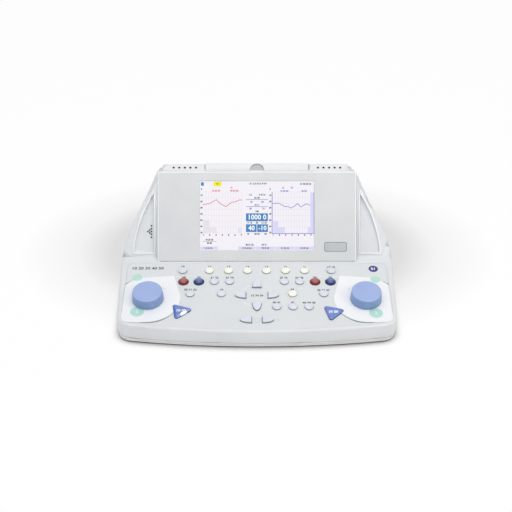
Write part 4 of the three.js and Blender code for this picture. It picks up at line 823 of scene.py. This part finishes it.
# frame of the right chart, as (start, end, width), and one curve in each chart
frameLines = [((20.2, 92.6), (20.2, 38.4), 1.0), ((19.8, 37.9), (76.2, 37.9), 0.9),
              ((75.9, 92.6), (75.9, 38.0), 0.6)]
redCurve = [
    (-71.8, 76.4), (-62.8, 78.0), (-54.2, 83.2), (-48.2, 77.4), (-41.4, 73.8), (-33.5, 79.9), (-28.4, 80.5),
    (-23.3, 82.9), (-19.6, 82.5),
]
blueCurve = [
    (21.2, 78.0), (29.2, 78.6), (37.2, 73.8), (41.2, 74.0), (45.5, 71.9), (50.3, 74.6), (54.0, 78.0),
    (58.4, 73.4), (65.8, 77.6), (70.9, 75.6),
]
curveWidth = 0.75
litPiece("screen_frame_violet", "violet", 3, addLines, frameLines)
litPiece("screen_curve_red", "red", 4, addRibbon, redCurve, curveWidth)
litPiece("screen_curve_blue", "curve", 4, addRibbon, blueCurve, curveWidth)

# fields in the middle, two lines over them, and a large number in each field, as (text, x, y, size)
blueFields = [(-14.6, 54.4, 14.6, 64.9), (-14.6, 40.0, -0.5, 50.3), (0.3, 40.0, 14.6, 50.3)]
blueLines = [((-14.4, 83.3), (14.4, 83.3), 0.6), ((-14.4, 73.9), (14.4, 73.9), 0.6)]
fieldNumbers = [("1000 0", 0, 59.6, 9.0), ("40", -7.2, 45.1, 8.6), ("-10", 7.4, 45.1, 8.2)]


def blueBoxes(bm, level):
    addBoxes(bm, level, blueFields)
    addLines(bm, level, blueLines)


def whiteDigits(bm, level):
    for number in fieldNumbers:
        addNumber(bm, level, *number)


litPiece("screen_boxes_blue", "blue", 3, blueBoxes)
litPiece("screen_digits_white", "white", 5, whiteDigits)

# small numbers: the scales of the charts, then single ones as (text, x, y)
scales = {"side": (-74.0, 17.6), "sideTop": 97.2, "sideStep": 8.3, "foot": (-71.2, 21.6), "footRow": 36.0,
          "footStep": 8.4, "bar": ((-72.6, 27.4), (-54, 27.4), 0.3)}
inkNumbers = [
    ("0 1 2 3 4 5 6 7 8 9", 1.5, 104.4), ("01 02 03 04", 65, 104.0), ("1 2", -9, 89.6), ("3 4 5 6", 7, 89.6),
    ("12", -7.6, 80), ("34", 7.4, 80), ("56 78", 0, 85.4), ("10 11", 0, 75.9), ("100", 0, 67.4),
    ("11 12", -9.8, 52.4), ("20", 0, 52.4), ("21 22", 9.6, 52.4), ("10", -11.8, 37.4), ("20 30", 0, 37.4),
    ("40", 11.4, 37.4), ("1 2 3 4 5", -64.6, 18.4), ("1 2 3 4 5 6", -13.8, 18.4), ("7 8 9 10", 11, 18.4),
    ("11 12 13", 37, 18.4), ("14 15 16", 63, 18.4), ("20 21 22", -9.8, 23.0), ("30 31", 9.6, 23.0),
]
barNumbers = [("10 20 30", -63.4, 29.6), ("40 50", -63.4, 25.2)]
redNumbers = [("10 20 30", -54.6, 95.0), ("40 50 60", -30.2, 95.0), ("12", -34.2, 99.2), ("70", 8.6, 71.2)]
violetNumbers = [("10 20 30", 36.4, 94.6), ("40 50", 62.8, 94.6), ("12", 34.8, 99.0), ("34", 46.4, 99.0),
                 ("80", -8.4, 71.2)]


def inkDigits(bm, level):
    for i in range(8):
        y = scales["sideTop"] - i * scales["sideStep"]
        addNumbers(bm, level, [(str(i * 10), x, y) for x in scales["side"]], 2.9, 0.05)
    for i in range(7):
        places = [x + i * scales["footStep"] for x in scales["foot"]]
        addNumbers(bm, level, [(str(i + 1), x, scales["footRow"]) for x in places], 3.0, 0.06)
    addNumbers(bm, level, inkNumbers, 3.0, 0.05)
    addLines(bm, level, [scales["bar"]])
    addNumbers(bm, level, barNumbers, 2.9, 0.05)


litPiece("screen_digits_ink", "ink", 5, inkDigits)
litPiece("screen_digits_red", "red", 5, addNumbers, redNumbers, 3.1, 0.04)
litPiece("screen_digits_violet", "curve", 5, addNumbers, violetNumbers, 3.1, 0.04)
litPiece("screen_tag_yellow", "yellow", 3, addBoxes, [(-57.8, 101.0, -47.2, 107.4)])
litPiece("screen_tag_digits", "ink", 5, addNumber, "01", -52.5, 104.2, 3.0)
litPiece("screen_icon_blue", "blue", 3, addBoxes, [(-74.6, 101.8, -70.8, 106.4)])
print("display picture drawn")


# Prints, painted shades and painted highlights: thin shapes just over the film, the plates, the keys and the
# connector plate
prints = {
    "film": -0.17, "filmOver": -0.14, "plate": 0.73, "plateOver": 0.76, "toneKey": 3.43, "bezel": 0.03,
    "bezelOver": 0.06, "rear": 0.03, "strip": 0.06,
}


def printAndShadePiece(name, finish, level, build, *details, frameOf=deckFrame, slotName="panel_grey", body="console"):
    # build draws the details at the level's height
    bm = bmesh.new()
    build(bm, prints[level], *details)
    addPiece(takeMesh(bm, name), name, finish, slotName, body=body, place=frameOf)


def addRing(bm, level, x, y, radius, width, steps=96):
    inner = vertsAt(bm, circle(x, y, radius, steps), level)
    outer = vertsAt(bm, circle(x, y, radius + width, steps), level)
    for i in range(steps):
        j = (i + 1) % steps
        bm.faces.new((inner[i], outer[i], outer[j], inner[j]))


def addRings(bm, level, rings):
    for ring in rings:
        addRing(bm, level, *ring)


def addCrescent(bm, level, x, y, radius, fromDegrees, toDegrees, width, lean, steps=48):
    # an arc that is widest where lean says, as a share of its way, and runs out to nothing at both ends
    inner = arcPoints(x, y, radius, fromDegrees, toDegrees, steps)
    outer = []
    for i, (px, py) in enumerate(inner):
        share = i / steps
        swell = (share / lean if share < lean else (1 - share) / (1 - lean)) ** 0.7 * width + 0.02
        outer.append((x + (px - x) * (radius + swell) / radius, y + (py - y) * (radius + swell) / radius))
    for i in range(steps):
        addSheet(bm, level, (inner[i], outer[i], outer[i + 1], inner[i + 1]))


# mint dots beside each dial: the part on the plate lies on it, the part past its edge lies on the film
dots = [(-156.2, 97.9, 6.6, "1"), (-150.8, 34.1, 8.7, "2"), (154.2, 94.0, 6.6, "1"), (149.5, 31.9, 8.7, "2")]
plateEdge = 40.9
# a short tick at the plate's edge beside each dial
ticks = [((-120.9, 78.2), (-117.8, 74.4), 0.9), ((118.4, 77.2), (119.6, 74.2), 0.9)]


def plateDots(bm, level):
    for x, y, radius, _ in dots:
        centre = Vector((math.copysign(dialShape["place"], x), dialShape["row"]))
        outline = []
        for px, py in circle(x, y, radius):
            away = Vector((px, py)) - centre
            if away.length > plateEdge:
                away = away.normalized() * plateEdge
            outline.append(tuple(centre + away))
        addSheet(bm, level, outline)


def filmDots(bm, level):
    for x, y, radius, _ in dots:
        if y > dialShape["row"]:
            addSheet(bm, level, circle(x, y, radius))


def dotNumbers(bm, level):
    for x, y, radius, text in dots:
        if y < dialShape["row"]:
            addNumber(bm, level, text, x, y, radius * 0.75)


printAndShadePiece("plate_dots", "mintInk", "plate", plateDots, slotName="plate_white")
printAndShadePiece("film_dots", "mintInk", "film", filmDots)
printAndShadePiece("dot_numbers", "whiteInk", "plateOver", dotNumbers, slotName="plate_white")
printAndShadePiece("dial_ticks", "mintInk", "plate", addLines, ticks, slotName="plate_white")

# rings, as (x, y, radius, width)
mintRings = [(0, 19.7, 3.3, 1.0), (-25.7, 19.6, 1.7, 0.45), (25.4, 19.6, 1.7, 0.45)]
ringed = [(-columns["outer"], rows["function"]), (columns["outer"], rows["function"]),
          (columns["thirdInner"], rows["third"])]
# grey rings round three keys, painted shade, and pale rings round them and round the arrow keys, painted
# highlights
shadeRings = [(x, y, 7.8, 0.5) for x, y in ringed]
highlightRings = [(0, rows["arrow"], 20.2, 0.6)] + [(x, y, 7.2, 0.6) for x, y in ringed]


def drawHighlights(bm, level):
    addRings(bm, level, highlightRings)
    for sign in (-1, 1):
        # a painted highlight on the crease that runs inwards from the top of each plate, fading
        addSheet(bm, level, [(sign * 106, 101.2), (sign * 38, 101.0), (sign * 106, 100.4)][::sign])


printAndShadePiece("film_mint_rings", "mintInk", "film", addRings, mintRings)
printAndShadePiece("film_ring_shades", "ringShade", "film", addRings, shadeRings)
printAndShadePiece("film_highlights", "ringHighlight", "film", drawHighlights)

# painted shade round each plate, as (side, radius, from, to, width, lean)
crescents = [(-1, 41.1, 118, 145, 1.9, 0.7), (-1, 41.2, 250, 324, 1.2, 0.55), (1, 41.1, 35, 62, 1.9, 0.3),
             (1, 41.2, 216, 290, 1.2, 0.45)]
flatShade = {"back": 0.45, "width": 0.7}


def darkCrescents(bm, level):
    for sign, *arc in crescents:
        addCrescent(bm, level, sign * dialShape["place"], dialShape["row"], *arc)


def flatShades(bm, level):
    # painted shade in the gap at the flat side of each arrow and page key
    for outlineOf, details in shapedKeys.values():
        if outlineOf is bulletOutline:
            x, y, length, width, degrees = details
            turn = math.radians(degrees)
            along = Vector((math.cos(turn), math.sin(turn)))
            across = Vector((-along.y, along.x))
            middle = Vector((x, y)) - along * flatShade["back"]
            ends = [middle + across * width / 2, middle - across * width / 2]
            addRibbon(bm, level, [tuple(end) for end in ends], flatShade["width"])


printAndShadePiece("film_crescents", "shadowInk", "film", darkCrescents)
printAndShadePiece("film_flat_shades", "shadowInk", "film", flatShades)

# small plain numbers over the keys, as (text, x, y)
keyNumbers = [
    ("10", -98, 119.6), ("11", -62.5, 119.4), ("12", -37.5, 119.2), ("13", -12.5, 119.0), ("14", 12.5, 118.8),
    ("15", 37.5, 118.6), ("16", 62.5, 118.4), ("17 18", 97.6, 118.4), ("20", -75.9, 98.6),
    ("21 22", -55.4, 97.9), ("23 24", -35.6, 97.9), ("25 26", 34.8, 97.7), ("27 28", 55.2, 97.7),
    ("29", 75.5, 98.4), ("28", -95.4, 98.6), ("29", 95.5, 98.4), ("30 31 32", -85.8, 75.2),
    ("33", -45.5, 75.0), ("34", 45.4, 75.6), ("35 36 37", 85.5, 74.4), ("40 41", 25, 51.6),
    ("42", 45.4, 51.4), ("43 44 45", 66.2, 51.2), ("12 34 56", 0, 64.3),
]
numberRow = ("10 20 30 40 50", -144, 116.0, 6.9)
filmBadge = {"disc": (153.3, 115.2, 6.2), "number": ("01", 153.3, 115.2, 6.4)}
toneNumbers = {"left": (-95.6, 33.6), "right": (95.6, 31.4), "size": 5.4, "bold": 0.05}
printAndShadePiece("film_numbers", "darkInk", "film", addNumbers, keyNumbers, 4.6, 0.04)
printAndShadePiece("film_number_row", "darkInk", "film", addNumber, *numberRow)
printAndShadePiece("film_badge", "violetInk", "film", addSheet, circle(*filmBadge["disc"]))
printAndShadePiece("film_badge_number", "whiteInk", "filmOver", addNumber, *filmBadge["number"])
for side in ("left", "right"):
    printAndShadePiece("tone_numbers_" + side, "whiteInk", "toneKey", addNumber, "10 20", *toneNumbers[side],
             toneNumbers["size"], toneNumbers["bold"], slotName="tone_blue", body="tone_key_" + side)

# painted shade: the lid's side gaps are rounded over, so they read wider and darker than the gap alone; the
# shades are on the case's side only, so nothing is left in the air when the lid opens
lidGaps = [((69.45, 0.9), (69.45, 7.6), 0.9), ((-69.75, 1.4), (-69.3, 7.4), 0.5)]
printAndShadePiece("lid_gap_shades", "nearBlackShade", "strip", addLines, lidGaps, frameOf=stripFrame)

# bare badge plate on the bezel, as its box and corner radius
badge = {"edge": (89.4, 13.8, 119.4, 26.4, 2.6), "face": (90.1, 14.5, 118.7, 25.7, 2.0)}


def roundedBox(x0, y0, x1, y1, corner):
    outline = []
    for x, y, start in ((x1 - corner, y1 - corner, 0), (x0 + corner, y1 - corner, 90),
                        (x0 + corner, y0 + corner, 180), (x1 - corner, y0 + corner, 270)):
        outline += arcPoints(x, y, corner, start, start + 90, 8)
    return outline


printAndShadePiece("bezel_badge_edge", "greyInk", "bezel", addSheet, roundedBox(*badge["edge"]), frameOf=podFrame)
printAndShadePiece("bezel_badge", "badgeSilver", "bezelOver", addSheet, roundedBox(*badge["face"]), frameOf=podFrame)


def rearNumbers(bm, level):
    # plain numbers under the sockets, and one over and one under the switch
    for i, x in enumerate(rear["jacks"] + rear["ports"] + [rear["inlet"]]):
        addNumber(bm, level, str(i + 1), -x, -11.6, 3.6)
    for text, y in (("1", 12.2), ("0", -12.2)):
        addNumber(bm, level, text, -rear["switch"], y, 3.0)


# the plate's face, turned round so that the numbers read from behind
rearPrint = rearFrame @ Matrix.Translation((0, 0, mm(rear["face"]))) @ Matrix.Rotation(math.pi, 4, "Y")
printAndShadePiece("rear_numbers", "darkInk", "rear", rearNumbers, frameOf=rearPrint, slotName="tray_grey")
print("prints drawn")


# Studio: pale floor, soft light from above and both sides, white seen behind
studio = {
    "floorSize": 3.0, "worldLight": 0.45, "haloWide": 0.34, "haloDeep": 0.22, "haloBack": 0.08,
    "haloTones": ((0.6, "dedede"), (1.0, "ffffff"), (0.75, "f4f4f4")), "contact": 0.014,
    "contactTones": ((0.3, "8c8c8c"), (0.9, "fcfcfc")), "contactFade": (0.45, 0.95), "white": 0.95,
}
# each lamp's place, what it points at, its size, its power and its tint
lamps = {
    "topLight": ((0.0, -0.3, 1.5), (0, 0, 0.05), 1.4, 10.8, "ffffff"),
    "rightLight": ((0.95, -0.85, 1.1), (0, 0, 0.06), 0.9, 3.0, "fff8ee"),
    "leftLight": ((-1.3, -0.7, 0.6), (0, 0, 0.06), 1.0, 2.0, "f4f8ff"),
    # small, for the gloss on the left tone key's bevelled edge
    "glossLight": ((1.114, -0.664, 0.921), (-0.0967, -0.107, 0.035), 0.14, 1.3, "ffffff"),
    "lowLight": ((0.0, -1.5, 0.35), (0, 0, 0.05), 1.0, 0.2, "fff4e6"),
}


def seenDirectly(tree):
    # 1 where the camera sees it straight, in a gloss or through something clear
    path = addNode(tree, "ShaderNodeLightPath")
    seen = path.outputs["Is Camera Ray"]
    for kind in ("Is Glossy Ray", "Is Transmission Ray"):
        either = addNode(tree, "ShaderNodeMath", {"operation": "MAXIMUM"}, {0: seen, 1: path.outputs[kind]})
        seen = either.outputs[0]
    return seen


def buildFloor():
    bm = bmesh.new()
    bmesh.ops.create_grid(bm, x_segments=1, y_segments=1, size=studio["floorSize"])
    mesh = takeMesh(bm, "floor")
    material, tree = newMaterial("studioFloor")
    seen = seenDirectly(tree)
    # painted shadow: the paper greys softly round the object's back and sides, and darkens where it meets the
    # object
    coord = addNode(tree, "ShaderNodeTexCoord")
    wide, deep = studio["haloWide"], studio["haloDeep"]
    halo = addNode(tree, "ShaderNodeMapping",
                   {"Location": (0, -studio["haloBack"] / deep, 0), "Scale": (1 / wide, 1 / deep, 1)},
                   {"Vector": coord.outputs["Object"]})
    away = addNode(tree, "ShaderNodeVectorMath", {"operation": "LENGTH"}, {0: halo.outputs["Vector"]})
    tone = addNode(tree, "ShaderNodeValToRGB", None, {"Fac": away.outputs["Value"]})
    setTones(tone, *studio["haloTones"])
    near = addNode(tree, "ShaderNodeAmbientOcclusion", {"samples": 8, "Distance": studio["contact"]})
    dark, clear = studio["contactFade"]
    fade = addNode(tree, "ShaderNodeMapRange",
                   {"From Min": dark, "From Max": clear, "To Min": 0.0, "To Max": studio["white"]},
                   {"Value": near.outputs["AO"]})
    amount = addNode(tree, "ShaderNodeMath", {"operation": "MULTIPLY"}, {0: seen, 1: fade.outputs["Result"]})
    contactShadowTone = addNode(tree, "ShaderNodeValToRGB", None, {"Fac": near.outputs["AO"]})
    setTones(contactShadowTone, *studio["contactTones"])
    paper = addNode(tree, "ShaderNodeBsdfDiffuse", None, {"Color": contactShadowTone.outputs["Color"]})
    white = addNode(tree, "ShaderNodeEmission", {"Strength": 1.0}, {"Color": tone.outputs["Color"]})
    mixed = addNode(tree, "ShaderNodeMixShader", None,
                    {0: amount.outputs[0], 1: paper.outputs[0], 2: white.outputs[0]})
    addNode(tree, "ShaderNodeOutputMaterial", None, {"Surface": mixed.outputs[0]})
    mesh.materials.append(material)
    floor = bpy.data.objects.new("floor", mesh)
    scene.collection.objects.link(floor)
    floor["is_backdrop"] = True


def addArea(name, place, target, size, energy, tint):
    data = bpy.data.lights.new(name, "AREA")
    data.shape = "SQUARE"
    data.size = size
    data.energy = energy
    data.color = linear(tint)[:3]
    lamp = bpy.data.objects.new(name, data)
    lamp.location = place
    lamp.rotation_euler = (Vector(target) - Vector(place)).to_track_quat("-Z", "Y").to_euler()
    scene.collection.objects.link(lamp)


def buildWorld():
    world = bpy.data.worlds.new("studioWorld")
    world.use_nodes = True
    tree = world.node_tree
    tree.nodes.clear()
    strength = addNode(tree, "ShaderNodeMapRange", {"To Min": studio["worldLight"], "To Max": 1.0},
                       {"Value": seenDirectly(tree)})
    background = addNode(tree, "ShaderNodeBackground", {"Color": (1, 1, 1, 1)},
                         {"Strength": strength.outputs["Result"]})
    addNode(tree, "ShaderNodeOutputWorld", None, {"Surface": background.outputs[0]})
    scene.world = world


buildFloor()
buildWorld()
for name, details in lamps.items():
    addArea(name, *details)
print("studio ready")

low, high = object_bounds()
